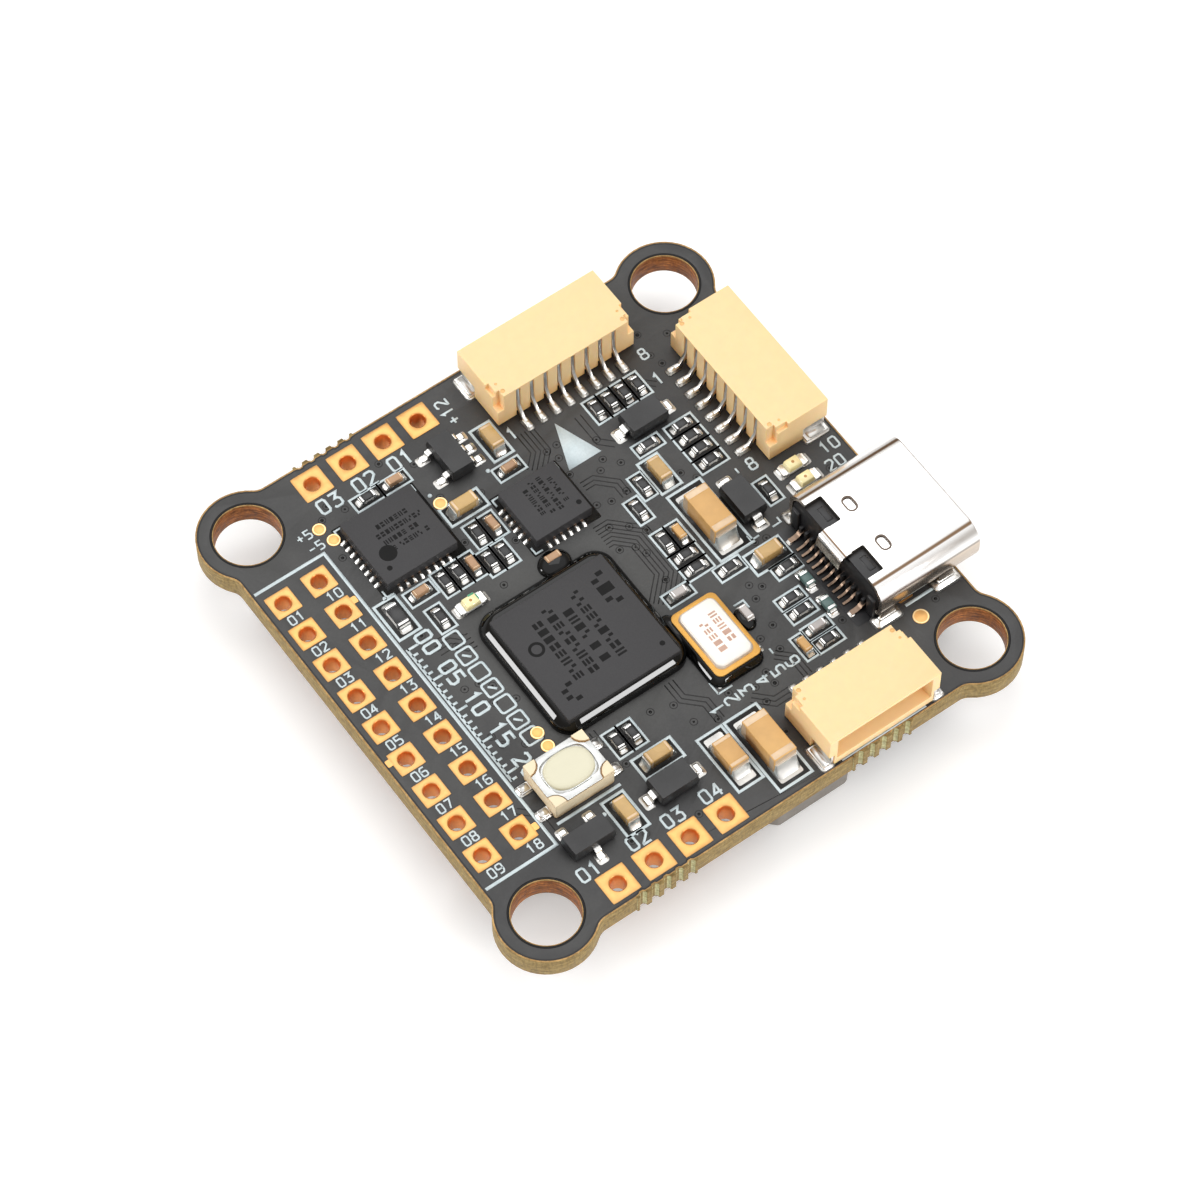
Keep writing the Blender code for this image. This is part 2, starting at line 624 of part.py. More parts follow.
def make_materials():
    looks = (
        ("solder_mask", (0.09, 0.09, 0.1), 0.45, 0.0),
        ("port_plastic", (0.9, 0.78, 0.52), 0.5, 0.0),
        ("switch_plastic", (0.88, 0.83, 0.66), 0.45, 0.0),
        ("black_plastic", (0.02, 0.02, 0.02), 0.45, 0.0),
        ("chip_plastic", (0.04, 0.04, 0.042), 0.6, 0.0),
        ("epoxy", (0.01, 0.01, 0.012), 0.1, 0.0),
        ("tin", (0.8, 0.8, 0.8), 0.3, 1.0),
        ("steel", (0.85, 0.84, 0.82), 0.25, 1.0),
        ("gold", (0.95, 0.7, 0.3), 0.3, 1.0),
        ("lid", (0.82, 0.76, 0.72), 0.35, 1.0),
        ("capacitor", (0.62, 0.42, 0.2), 0.4, 0.0),
        ("resistor", (0.05, 0.05, 0.055), 0.4, 0.0),
        ("led", (0.9, 0.8, 0.35), 0.3, 0.0),
        ("ferrite", (0.26, 0.25, 0.24), 0.65, 0.0),
    )
    return {name: new_material(name, *values) for name, *values in looks}


def main():
    clear_scene()
    materials = make_materials()
    make_board(materials["solder_mask"])
    make_ports(materials)
    make_usb(materials)
    make_switch(materials)
    make_chips(materials)
    make_passives(materials)
    make_underside(materials)


main()
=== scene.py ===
import math
import random

import bmesh
import bpy
from mathutils import Matrix, Vector


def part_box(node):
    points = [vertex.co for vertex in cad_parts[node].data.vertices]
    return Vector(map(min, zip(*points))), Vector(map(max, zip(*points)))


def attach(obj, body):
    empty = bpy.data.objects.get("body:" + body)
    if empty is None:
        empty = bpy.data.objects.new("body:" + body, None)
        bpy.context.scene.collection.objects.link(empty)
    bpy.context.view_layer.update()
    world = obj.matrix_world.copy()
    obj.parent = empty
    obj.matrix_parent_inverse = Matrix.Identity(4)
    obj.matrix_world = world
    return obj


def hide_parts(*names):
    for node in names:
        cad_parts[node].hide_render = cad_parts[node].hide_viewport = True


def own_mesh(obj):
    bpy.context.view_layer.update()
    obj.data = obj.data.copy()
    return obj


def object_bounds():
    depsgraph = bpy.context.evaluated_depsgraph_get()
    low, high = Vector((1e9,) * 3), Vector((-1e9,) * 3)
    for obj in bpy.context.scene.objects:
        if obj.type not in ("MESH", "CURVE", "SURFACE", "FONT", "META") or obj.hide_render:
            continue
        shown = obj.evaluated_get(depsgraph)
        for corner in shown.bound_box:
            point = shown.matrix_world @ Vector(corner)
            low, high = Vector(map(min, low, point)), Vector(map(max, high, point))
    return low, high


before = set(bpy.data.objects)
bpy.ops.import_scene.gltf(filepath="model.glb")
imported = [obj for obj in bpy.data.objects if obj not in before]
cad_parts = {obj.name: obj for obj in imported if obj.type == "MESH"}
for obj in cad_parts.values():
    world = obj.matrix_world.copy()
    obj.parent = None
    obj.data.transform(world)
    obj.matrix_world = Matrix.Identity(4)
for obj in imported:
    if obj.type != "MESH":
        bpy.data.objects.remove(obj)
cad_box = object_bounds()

# Lengths here are millimetres, and object_of() scales each piece's mesh to metres.
MM = 0.001
random.seed(11)
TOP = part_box("circuit_board")[1].z / MM
LOWEST = cad_box[0].z / MM
# heights above a face of the board: printed ink, mask lines over the traces, solder
SILK_FOOT, SILK_RISE = 0.002, 0.014
STROKE_LIFT = 0.0012
TRACE_FOOT, TRACE_RISE = 0.0008, 0.004
SOLDER_FOOT = 0.004


# ---------------------------------------------------------------- mesh helpers


def arc(centre, radius, start, end, steps):
    """Points along an arc, both ends included, with the angles in degrees."""
    angles = [math.radians(start + (end - start) * i / steps) for i in range(steps + 1)]
    return [(centre[0] + radius * math.cos(a), centre[1] + radius * math.sin(a)) for a in angles]


def circle(centre, radius, steps):
    return arc(centre, radius, 0, 360, steps)[:-1]


def rounded_rectangle(half_x, half_y, radius, steps=4, centre=(0.0, 0.0)):
    points = []
    for quarter, (sx, sy) in enumerate(((1, 1), (-1, 1), (-1, -1), (1, -1))):
        corner = (centre[0] + sx * (half_x - radius), centre[1] + sy * (half_y - radius))
        points += arc(corner, radius, 90 * quarter, 90 * quarter + 90, steps)
    return points


def rectangle(x0, y0, x1, y1, gap=0.0):
    """Corners of a rectangle, shrunk by the gap."""
    x0, y0, x1, y1 = x0 + gap, y0 + gap, x1 - gap, y1 - gap
    return [(x0, y0), (x1, y0), (x1, y1), (x0, y1)]


def levels(outline, *heights):
    return [[(x, y, z) for x, y in outline] for z in heights]


def turned(points, centre, turn):
    """Flat points turned about the origin, in degrees, and moved to the centre."""
    cosine, sine = math.cos(math.radians(turn)), math.sin(math.radians(turn))
    return [(centre[0] + x * cosine - y * sine, centre[1] + x * sine + y * cosine) for x, y in points]


def place_on(x, y, z=0.0, turn=0.0, flip=False):
    matrix = Matrix.Translation((x, y, z)) @ Matrix.Rotation(math.radians(turn), 4, "Z")
    return matrix @ Matrix.Rotation(math.pi, 4, "X") if flip else matrix


def moved(bm, matrix):
    bmesh.ops.transform(bm, matrix=matrix, verts=bm.verts)


def loft(bm, loops, material=0, materials=None, joined=False, place=Matrix()):
    """A surface through loops of points. The first and last are filled, or joined to each other."""
    rings = [[bm.verts.new(place @ Vector(point)) for point in loop] for loop in loops]
    bands = list(zip(rings, rings[1:] + rings[:1])) if joined else list(zip(rings, rings[1:]))
    materials = materials or (material,) * len(bands)
    for (lower, upper), index in zip(bands, materials):
        for i in range(len(lower)):
            j = (i + 1) % len(lower)
            bm.faces.new((lower[i], lower[j], upper[j], upper[i])).material_index = index
    if not joined:
        bm.faces.new(rings[0][::-1]).material_index = materials[0]
        bm.faces.new(rings[-1]).material_index = materials[-1]


def plate(bm, outline, low, high, material=0):
    loft(bm, levels(outline, low, high), material)


def hoop(bm, outer, inner, low, high, material=0):
    """A flat band between two outlines that have as many points."""
    loft(bm, levels(outer, low, high) + levels(inner, high, low), material, joined=True)


def ring(bm, centre, outer, inner, low, high, steps=28, material=0):
    hoop(bm, circle(centre, outer, steps), circle(centre, inner, steps), low, high, material)


def rounded_box(bm, low, high, radius, segments=3, material=0, place=Matrix()):
    """A box with rounded edges between two corners, which come in any order."""
    low, high = zip(*(sorted(pair) for pair in zip(low, high)))
    size = Vector(high) - Vector(low)
    centre = (Vector(high) + Vector(low)) / 2
    whole = Matrix.Translation(centre) @ Matrix.Diagonal((*size, 1.0))
    verts = bmesh.ops.create_cube(bm, size=1.0, matrix=whole)["verts"]
    edges = list({edge for vert in verts for edge in vert.link_edges})
    for face in {face for vert in verts for face in vert.link_faces}:
        face.material_index = material
    made = bmesh.ops.bevel(
        bm, geom=edges, offset=radius, segments=segments, profile=0.5, affect="EDGES", clamp_overlap=True
    )
    verts = list({vert for face in made["faces"] for vert in face.verts})
    bmesh.ops.transform(bm, matrix=place, verts=verts)


def mitred(points, distance, closed=False):
    """The line moved sideways by a distance, with its corners mitred."""
    points = [Vector(p) for p in points]
    sharpest = 0.35
    made = []
    for i, point in enumerate(points):
        into = (point - points[i - 1]).normalized() if i or closed else None
        after = points[(i + 1) % len(points)] if i < len(points) - 1 or closed else None
        out = (after - point).normalized() if after is not None else None
        straight = out or into
        along = (into or out) + straight
        if along.length < 1e-6:
            along = straight
        along = along.normalized()
        side = Vector((-along.y, along.x))
        stretch = max(sharpest, side.dot(Vector((-straight.y, straight.x))))
        made.append(point + side * distance / stretch)
    return made


def ribbon(bm, points, width, low, high, closed=False):
    """A flat strip of even width along a line, with mitred corners."""
    left, right = (mitred(points, way * width / 2, closed) for way in (1, -1))
    if closed:
        hoop(bm, left, right, low, high)
        return
    loft(bm, [((*a, low), (*a, high), (*b, high), (*b, low)) for a, b in zip(left, right)])


def strip_path(bm, path, thickness, low_x, high_x, material=0, place=Matrix()):
    """A bent metal strip: its middle line in Y and Z, given a thickness and extruded along X."""
    outline = mitred(path, thickness / 2) + mitred(path, -thickness / 2)[::-1]
    loft(bm, [[(x, p.x, p.y) for p in outline] for x in (low_x, high_x)], material, place=place)


def smooth_path(points, times=2):
    """Corner cutting, which rounds the bends of a strip."""
    for _ in range(times):
        made = [points[0]]
        for a, b in zip(points, points[1:]):
            made += [tuple(p * (1 - share) + q * share for p, q in zip(a, b)) for share in (0.25, 0.75)]
        points = made + [points[-1]]
    return points


def copy_of(node):
    """A CAD node's mesh in millimetres, with its coplanar triangles joined up."""
    bm = bmesh.new()
    bm.from_mesh(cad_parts[node].data)
    bmesh.ops.scale(bm, vec=(1 / MM,) * 3, verts=bm.verts)
    bmesh.ops.remove_doubles(bm, verts=bm.verts, dist=0.0008)
    bmesh.ops.dissolve_limit(bm, angle_limit=math.radians(0.6), verts=bm.verts, edges=bm.edges)
    for face in bm.faces:
        face.material_index = 0
    return bm


def extent(node):
    """A CAD node's lowest and highest corners, its middle and half its size."""
    low, high = (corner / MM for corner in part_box(node))
    return low, high, (low + high) / 2, (high - low) / 2


def object_of(name, bm, scale=MM):
    """Turns a mesh under construction into an object of the scene."""
    bmesh.ops.scale(bm, vec=(scale,) * 3, verts=bm.verts)
    mesh = bpy.data.meshes.new(name)
    bm.to_mesh(mesh)
    bm.free()
    obj = bpy.data.objects.new(name, mesh)
    bpy.context.scene.collection.objects.link(obj)
    return obj


def evaluated(obj, *helpers):
    """The mesh that an object's modifiers make. The object and its helpers go."""
    bpy.context.view_layer.update()
    graph = bpy.context.evaluated_depsgraph_get()
    mesh = bpy.data.meshes.new_from_object(obj.evaluated_get(graph), depsgraph=graph)
    for used in (obj, *helpers):
        bpy.data.objects.remove(used)
    bm = bmesh.new()
    bm.from_mesh(mesh)
    return bm


def cut(bm, cutter):
    """The exact difference of two closed meshes."""
    kept, tool = object_of("kept", bm, 1.0), object_of("cutter", cutter, 1.0)
    boolean = kept.modifiers.new("Cut", "BOOLEAN")
    boolean.operation = "DIFFERENCE"
    boolean.solver = "EXACT"
    boolean.use_self = True
    boolean.object = tool
    return evaluated(kept, tool)


def grown(bm, steps, voxel, relax):
    """Joins the lumps of a mesh into one smooth skin."""
    obj = object_of("lumps", bm, 1.0)
    remesh = obj.modifiers.new("Skin", "REMESH")
    remesh.mode = "VOXEL"
    remesh.voxel_size = voxel
    smooth = obj.modifiers.new("Relax", "SMOOTH")
    smooth.factor = relax
    smooth.iterations = steps
    return evaluated(obj)


def piece(
    name, bm, materials, slot, body="board", replaces=(), bevel=0.0, segments=2, sharp=None, bevel_angle=40
):
    """Makes the object, gives it its materials, hangs it on the body that it rides on and hides the CAD
    nodes that it replaces.
    """
    bmesh.ops.recalc_face_normals(bm, faces=bm.faces)
    obj = object_of(name, bm)
    for material in materials if isinstance(materials, tuple) else (materials,):
        obj.data.materials.append(material)
    obj.data.shade_smooth()
    if sharp:
        obj.data.set_sharp_from_angle(angle=math.radians(sharp))
    if bevel:
        modifier = obj.modifiers.new("Edges", "BEVEL")
        modifier.width = bevel * MM
        modifier.segments = segments
        modifier.limit_method = "ANGLE"
        modifier.angle_limit = math.radians(bevel_angle)
        modifier.harden_normals = True
    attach(obj, body)
    if replaces:
        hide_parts(*replaces)
    return obj


def stand_in(node, bm, materials, slot, **options):
    """A piece with the name of the CAD node that it replaces."""
    return piece(node, bm, materials, slot, replaces=(node,), **options)


def refined(node, material, slot, **options):
    """The CAD node's own shape with softened edges and a finish."""
    return stand_in(node, copy_of(node), material, slot, **options)


# ---------------------------------------------------------------- material helpers


def new_material(name):
    """A material, its node tree and its shader."""
    material = bpy.data.materials.new(name)
    material.use_nodes = True
    return material, material.node_tree, material.node_tree.nodes["Principled BSDF"]


def feed(tree, node, inputs):
    """Gives each named input a plain value, or the output of another node."""
    for name, value in inputs.items():
        if isinstance(value, bpy.types.NodeSocket):
            tree.links.new(value, node.inputs[name])
        else:
            node.inputs[name].default_value = value


def add(tree, kind, inputs, output, **settings):
    """Adds a node and returns one of its outputs."""
    node = tree.nodes.new(kind)
    for name, value in settings.items():
        setattr(node, name, value)
    feed(tree, node, inputs)
    return node.outputs[output]


def coordinates(tree, stretch=(1, 1, 1)):
    where = add(tree, "ShaderNodeTexCoord", {}, "Object")
    return add(tree, "ShaderNodeMapping", {"Vector": where, "Scale": stretch}, "Vector")


def noise(tree, vector, scale, detail=4.0, rough=0.55):
    inputs = {"Vector": vector, "Scale": scale, "Detail": detail, "Roughness": rough}
    return add(tree, "ShaderNodeTexNoise", inputs, "Fac")


def ramp(tree, source, stops):
    """Colours over the source's value, from stops of a position and a colour or a grey level."""
    node = tree.nodes.new("ShaderNodeValToRGB")
    elements = node.color_ramp.elements
    while len(elements) < len(stops):
        elements.new(0.5)
    for element, (position, colour) in zip(elements, stops):
        element.position = position
        element.color = (colour,) * 3 + (1.0,) if isinstance(colour, float) else (*colour, 1.0)
    feed(tree, node, {"Fac": source})
    return node.outputs["Color"]


def spread(tree, source, low, high, start=0.3, end=0.7):
    """Low to high as the source goes from start to end."""
    inputs = {"Value": source, "From Min": start, "From Max": end, "To Min": low, "To Max": high}
    return add(tree, "ShaderNodeMapRange", inputs, "Result")


def mix(tree, share, first, second, way="MIX"):
    inputs = {"Factor": share, "A": first, "B": second}
    return add(tree, "ShaderNodeMix", inputs, "Result", data_type="RGBA", blend_type=way)


def relief(tree, shader, source, depth):
    bump = {"Height": source, "Distance": depth * MM, "Strength": 1.0}
    feed(tree, shader, {"Normal": add(tree, "ShaderNodeBump", bump, "Normal")})


def hollowed(tree, colour, shade_colour, reach):
    """Painted shade: the colour, drifting to the shade colour in corners that neighbours within reach shut
    in.
    """
    openness = add(tree, "ShaderNodeAmbientOcclusion", {"Distance": reach * MM}, "AO", samples=6)
    return mix(tree, spread(tree, openness, 1.0, 0.0, 0.25, 0.85), colour, (*shade_colour, 1.0))


def finish(
    name, dark, light, grain=3000, rough=(0.4, 0.5), metallic=0.0, depth=0.004,
    specular=0.5, painted_shade=None, shade_reach=0.6, subsurface=0.0, speckles=0.08,
):
    """A mottled surface with fine relief, and optional painted shade: a colour painted into the enclosed
    corners, within a reach.
    """
    material, tree, shader = new_material(name)
    vector = coordinates(tree)
    coarse = noise(tree, vector, grain * 0.12, 3)
    fine = noise(tree, vector, grain, 5)
    speckle = ramp(tree, fine, ((0.35, 1.0 - speckles), (0.65, 1.0)))
    colour = mix(tree, 1.0, ramp(tree, coarse, ((0.3, dark), (0.7, light))), speckle, "MULTIPLY")
    if painted_shade:
        colour = hollowed(tree, colour, painted_shade, shade_reach)
    feed(tree, shader, {
        "Base Color": colour,
        "Roughness": spread(tree, coarse, *rough),
        "Metallic": metallic,
        "Specular IOR Level": specular,
    })
    if subsurface:
        feed(tree, shader, {
            "Subsurface Weight": subsurface,
            "Subsurface Radius": (1.0, 0.45, 0.15),
            "Subsurface Scale": 0.5 * MM,
        })
    if depth:
        relief(tree, shader, fine, depth)
    return material


def laminate(name, dark, light, rough):
    """Cut glass-epoxy: thin horizontal plies crossed by fibre ends."""
    material, tree, shader = new_material(name)
    plies = noise(tree, coordinates(tree, (1.0, 1.0, 7.0)), 1100, 4, 0.65)
    fibres = noise(tree, coordinates(tree, (1, 1, 0.4)), 7000, 4)
    between = tuple((a + b) / 2 for a, b in zip(dark, light))
    colour = ramp(tree, plies, ((0.3, dark), (0.5, between), (0.68, light)))
    speckle = ramp(tree, fibres, ((0.35, (0.72, 0.7, 0.66)), (0.62, (1.12, 1.1, 1.05))))
    feed(tree, shader, {
        "Base Color": mix(tree, 1.0, colour, speckle, "MULTIPLY"),
        "Roughness": spread(tree, fibres, *rough),
        "Specular IOR Level": 0.2,
    })
    relief(tree, shader, plies, 0.02)
    return material


def mask_finish(name, dark, light, rough):
    """Solder mask: matte, mottled by the copper and the glass cloth below it, hazy round the big chip, with
    painted shade darkening it near the parts.
    """
    material, tree, shader = new_material(name)
    vector = coordinates(tree)
    fine = noise(tree, vector, 9000, 4)
    colour = ramp(tree, noise(tree, vector, 260, 3), ((0.32, dark), (0.68, light)))
    chip = extent("microcontroller")[2]
    place = (chip.x * MM, (chip.y + 0.8) * MM, TOP * MM)
    apart = add(tree, "ShaderNodeVectorMath", {0: vector, 1: place}, "Value", operation="DISTANCE")
    waver = {0: noise(tree, vector, 420, 4), 1: 6.0 * MM, 2: apart}
    ragged = add(tree, "ShaderNodeMath", waver, "Value", operation="MULTIPLY_ADD")
    haze = ramp(tree, ragged, ((0.0, 1.0), (0.0094, 1.0), (0.0098, 0.0), (1.0, 0.0)))
    clouded = mix(tree, haze, colour, (0.062, 0.062, 0.060, 1.0))
    feed(tree, shader, {
        # painted shade: the mask goes near black where nearby parts shut it in
        "Base Color": hollowed(tree, clouded, (0.010, 0.010, 0.011), 1.3),
        "Roughness": spread(tree, fine, *rough),
    })
    wave = {"Vector": vector, "Scale": 620}
    warp, weft = (add(tree, "ShaderNodeTexWave", wave, "Fac", bands_direction=way) for way in "XY")
    weave = {0: warp, 1: weft, 2: fine}
    relief(tree, shader, add(tree, "ShaderNodeMath", weave, "Value", operation="MULTIPLY_ADD"), 0.0025)
    return material


def lens_finish(name, tint):
    """Clear yellowish resin over a small die."""
    material, tree, shader = new_material(name)
    haze = noise(tree, coordinates(tree), 1500, 3)
    clear = tuple(min(1.0, c * 1.1) for c in tint)
    feed(tree, shader, {
        "Base Color": ramp(tree, haze, ((0.3, tint), (0.7, clear))),
        "Roughness": spread(tree, haze, 0.12, 0.25),
        "Coat Weight": 0.6,
    })
    relief(tree, shader, haze, 0.01)
    return material


def steel_finish(name):
    """Bright rolled steel, with painted reflections: bands of colour set by which way the surface faces."""
    material, tree, shader = new_material(name)
    grain = noise(tree, coordinates(tree, (0.25, 1, 1)), 1600, 4)
    normal = add(tree, "ShaderNodeNewGeometry", {}, "Normal")
    # painted reflections: white, brown, dark grey and tan bands, by how far the world normal points up
    tint = ramp(tree, add(tree, "ShaderNodeSeparateXYZ", {"Vector": normal}, "Z"), (
        (0.0, (0.62, 0.54, 0.46)), (0.22, (0.70, 0.61, 0.52)), (0.31, (0.33, 0.30, 0.27)),
        (0.40, (0.88, 0.87, 0.86)), (0.915, (0.90, 0.89, 0.88)), (0.935, (0.26, 0.165, 0.10)),
        (0.962, (0.24, 0.15, 0.09)), (0.978, (0.86, 0.85, 0.83)),
    ))
    speckle = ramp(tree, grain, ((0.3, (0.95, 0.94, 0.93)), (0.7, (1.0, 1.0, 1.0))))
    feed(tree, shader, {
        "Base Color": mix(tree, 1.0, tint, speckle, "MULTIPLY"),
        "Roughness": spread(tree, grain, 0.2, 0.3),
        "Metallic": 1.0,
    })
    relief(tree, shader, grain, 0.0015)
    return material


def floor_finish(name):
    """Backlit white paper."""
    material, tree, shader = new_material(name)
    grain = noise(tree, coordinates(tree), 300, 3)
    feed(tree, shader, {
        "Base Color": ramp(tree, grain, ((0.3, (0.955, 0.953, 0.95)), (0.7, (0.965, 0.963, 0.96)))),
        "Roughness": 0.8,
        "Specular IOR Level": 0.1,
        "Emission Color": (1.0, 1.0, 1.0, 1.0),
        "Emission Strength": 0.16,
    })
    return material


# ---------------------------------------------------------------- materials

# the board
MASK = mask_finish("solder_mask", (0.040, 0.040, 0.041), (0.056, 0.056, 0.055), (0.46, 0.60))
MASK_DARK = finish("mask_shadow", (0.018, 0.018, 0.019), (0.026, 0.026, 0.027), 5000, depth=0.002)
MASK_BLACK = finish("mask_edge", (0.003,) * 3, (0.007,) * 3, 5000, (0.35, 0.5), depth=0.002, specular=0.3)
GROOVE = finish("mask_groove", (0.021,) * 3, (0.030,) * 3, 5000, (0.45, 0.55), depth=0.002, specular=0.35)
# painted shade: darker mask inside the printed outlines of the parts
PART_SHADE = finish("mask_window", (0.022,) * 3, (0.033,) * 3, 3000, (0.45, 0.55), depth=0.004, specular=0.4)
SILK = finish("silkscreen_ink", (0.60, 0.70, 0.73), (0.70, 0.785, 0.81), 9000, (0.5, 0.65))
EDGE = laminate("laminate_edge", (0.19, 0.125, 0.045), (0.40, 0.30, 0.13), (0.5, 0.7))
RIM = laminate("laminate_rim", (0.32, 0.19, 0.07), (0.60, 0.38, 0.16), (0.5, 0.7))
TORN = laminate("torn_laminate", (0.34, 0.30, 0.13), (0.68, 0.69, 0.44), (0.35, 0.5))
BORE = laminate("laminate_bore", (0.045, 0.013, 0.005), (0.56, 0.215, 0.062), (0.4, 0.6))
# metals
GOLD = finish("gold_plate", (0.70, 0.375, 0.125), (0.80, 0.47, 0.185), 2500, (0.34, 0.46), 1.0)
# a paler gold, for a painted highlight along the rims of the round test pads
GOLD_HIGHLIGHT = finish("gold_painted_highlight", (0.86, 0.62, 0.30), (0.94, 0.72, 0.40), 2500, (0.34, 0.46), 1.0)
BARREL = finish("plated_barrel", (0.90, 0.30, 0.06), (0.98, 0.43, 0.12), 4000, (0.3, 0.42), 0.75, 0.003)
TIN = finish("tin_plate", (0.78, 0.77, 0.75), (0.92, 0.91, 0.89), 3500, (0.26, 0.42), 1.0)
SOLDER = finish("solder", (0.74, 0.73, 0.70), (0.92, 0.91, 0.88), 1800, (0.22, 0.40), 1.0, 0.010)
LAND = finish(
    "tinned_land", (0.36, 0.35, 0.335), (0.74, 0.73, 0.70), 1100, (0.3, 0.5), 1.0, 0.03, speckles=0.25
)
STEEL = steel_finish("shell_steel")
COVER = finish(
    "cover_steel", (0.58, 0.59, 0.58), (0.66, 0.67, 0.66), 2600, (0.32, 0.44), 0.9, 0.002, speckles=0.04
)
BRONZE = finish("contact_bronze", (0.22, 0.15, 0.105), (0.36, 0.25, 0.18), 2500, (0.3, 0.45), 0.7, 0.003)
LID = finish(
    "crystal_lid_metal", (0.80, 0.745, 0.68), (0.86, 0.81, 0.745), 2600, (0.36, 0.5), 0.6, 0.002,
    speckles=0.04,
)
LID_MARK = finish("lid_mark", (0.50, 0.30, 0.23), (0.62, 0.40, 0.31), 6000, (0.5, 0.6), depth=0.002)
CRYSTAL_RIM = finish("crystal_rim_gold", (0.78, 0.40, 0.085), (0.88, 0.50, 0.13), 2400, (0.36, 0.5), 0.8)
CAP_END = finish("capacitor_end", (0.50, 0.345, 0.20), (0.70, 0.53, 0.36), 2400, (0.25, 0.4), 0.35, 0.006)
DIMPLE = finish("dimple_shadow", (0.10, 0.065, 0.045), (0.17, 0.12, 0.085), rough=(0.4, 0.55), depth=0.002)
# plastics and resins
# painted shade: orange in the housing's enclosed corners and grooves
CREAM = finish(
    "port_nylon", (0.95, 0.675, 0.355), (0.97, 0.70, 0.375), 1600, (0.42, 0.55), depth=0.003,
    painted_shade=(1.0, 0.57, 0.22), shade_reach=1.3, subsurface=0.2, speckles=0.03,
)
# painted shade: orange, where small holes in the port tops show their shaded insides
HOLE_SHADE = finish("port_hole_shade", (0.88, 0.50, 0.18), (0.94, 0.58, 0.24), depth=0.003)
# painted shade: orange-brown in the switch base's enclosed corners
SWITCH = finish(
    "switch_resin", (0.87, 0.73, 0.50), (0.90, 0.77, 0.54), 2000, (0.38, 0.5), depth=0.003,
    painted_shade=(0.62, 0.36, 0.14), shade_reach=0.7, speckles=0.03,
)
# painted shade: olive round the button's edge and in its enclosed corners
BUTTON = finish(
    "button_resin", (0.70, 0.67, 0.50), (0.73, 0.70, 0.53), 1500, (0.35, 0.45), depth=0.001,
    painted_shade=(0.50, 0.42, 0.20), shade_reach=0.5, speckles=0.02,
)
BLACK = finish("connector_black", (0.006, 0.006, 0.007), (0.014, 0.014, 0.016), rough=(0.3, 0.45))
CHIP = finish("mould_compound", (0.029, 0.028, 0.030), (0.041, 0.040, 0.043), 9000, (0.5, 0.66), depth=0.007)
CHIP_SMALL = finish(
    "small_mould_compound", (0.014, 0.014, 0.015), (0.024, 0.024, 0.025), 5000, (0.34, 0.5), depth=0.008
)
MARK = finish("laser_mark", (0.003,) * 3, (0.007,) * 3, 9000, (0.5, 0.65), depth=0.003, specular=0.2)
EPOXY = finish("underfill_epoxy", (0.0005,) * 3, (0.0015,) * 3, 700, (0.02, 0.04), depth=0.0, specular=0.34)
LENS = lens_finish("led_lens", (0.98, 0.83, 0.45))
DIE = finish("led_die", (0.45, 0.20, 0.05), (0.58, 0.30, 0.08), 5000, (0.3, 0.4), depth=0.0)
GREEN = finish("polarity_green", (0.05, 0.26, 0.14), (0.10, 0.40, 0.22), 4000, depth=0.002)
GREEN_GREY = finish("array_body", (0.07, 0.13, 0.12), (0.13, 0.21, 0.20), rough=(0.3, 0.45))
# ceramics and ferrite
# painted shade: the ceramic darkens to brown in corners near the board and its neighbours
CERAMIC_TAN = finish(
    "capacitor_ceramic", (0.55, 0.295, 0.09), (0.72, 0.43, 0.155), 1300, (0.24, 0.38), depth=0.006,
    painted_shade=(0.24, 0.10, 0.03), shade_reach=1.2, specular=0.4,
)
# painted shade: the ceramic darkens to brown in corners near the board and its neighbours
CERAMIC_GOLD = finish(
    "small_capacitor_ceramic", (0.42, 0.25, 0.08), (0.64, 0.42, 0.16), 2200, (0.2, 0.34), depth=0.006,
    painted_shade=(0.16, 0.08, 0.025), shade_reach=0.8,
)
CERAMIC_BROWN = finish(
    "brown_ceramic", (0.36, 0.20, 0.10), (0.52, 0.31, 0.17), 1800, (0.25, 0.4), depth=0.006
)
CERAMIC_GREY = finish("grey_ceramic", (0.42, 0.39, 0.38), (0.56, 0.52, 0.50), 1800, (0.3, 0.45), depth=0.006)
GLAZE = finish("resistor_glaze", (0.012, 0.012, 0.013), (0.022, 0.022, 0.024), 3500, (0.25, 0.4))
CHIP_BODIES = {
    "resistor": GLAZE, "brown": CERAMIC_BROWN, "tan": CERAMIC_TAN, "gold": CERAMIC_GOLD,
    "grey": CERAMIC_GREY,
}
ALUMINA = finish("resistor_substrate", (0.66, 0.66, 0.64), (0.78, 0.78, 0.76), rough=(0.5, 0.6))
FERRITE = finish("iron_powder", (0.185, 0.168, 0.148), (0.27, 0.248, 0.222), 5200, (0.6, 0.8), depth=0.03)


# ---------------------------------------------------------------- circuit board

MOUNT = 15.25
MOUNT_RADIUS = 2.05
EDGE_Y = 17.45
PITCH = 2.54
HEADER_ROWS = 9
EDGE_ROW_PADS = 4
ROW_Y = [PITCH * (HEADER_ROWS // 2 - i) for i in range(HEADER_ROWS)]
HEADER = [(x, y) for x in (-16.12, -13.58) for y in ROW_Y]
FRONT_ROW = [(-2.55 - PITCH * i, 15.95) for i in range(EDGE_ROW_PADS)]
REAR_ROW = [(-3.27 - PITCH * i, -16.11) for i in range(EDGE_ROW_PADS)]
HOLES = HEADER + FRONT_ROW + REAR_ROW
MOUNT_PLACES = [(x, y) for x in (-MOUNT, MOUNT) for y in (-MOUNT, MOUNT)]
# the broken tabs lie nearer to the middle than this, on the edges that face front and back
TAB_REACH = 11.5


def near(point, places, reach):
    return any(math.dist(point[:2], place) < reach for place in places)


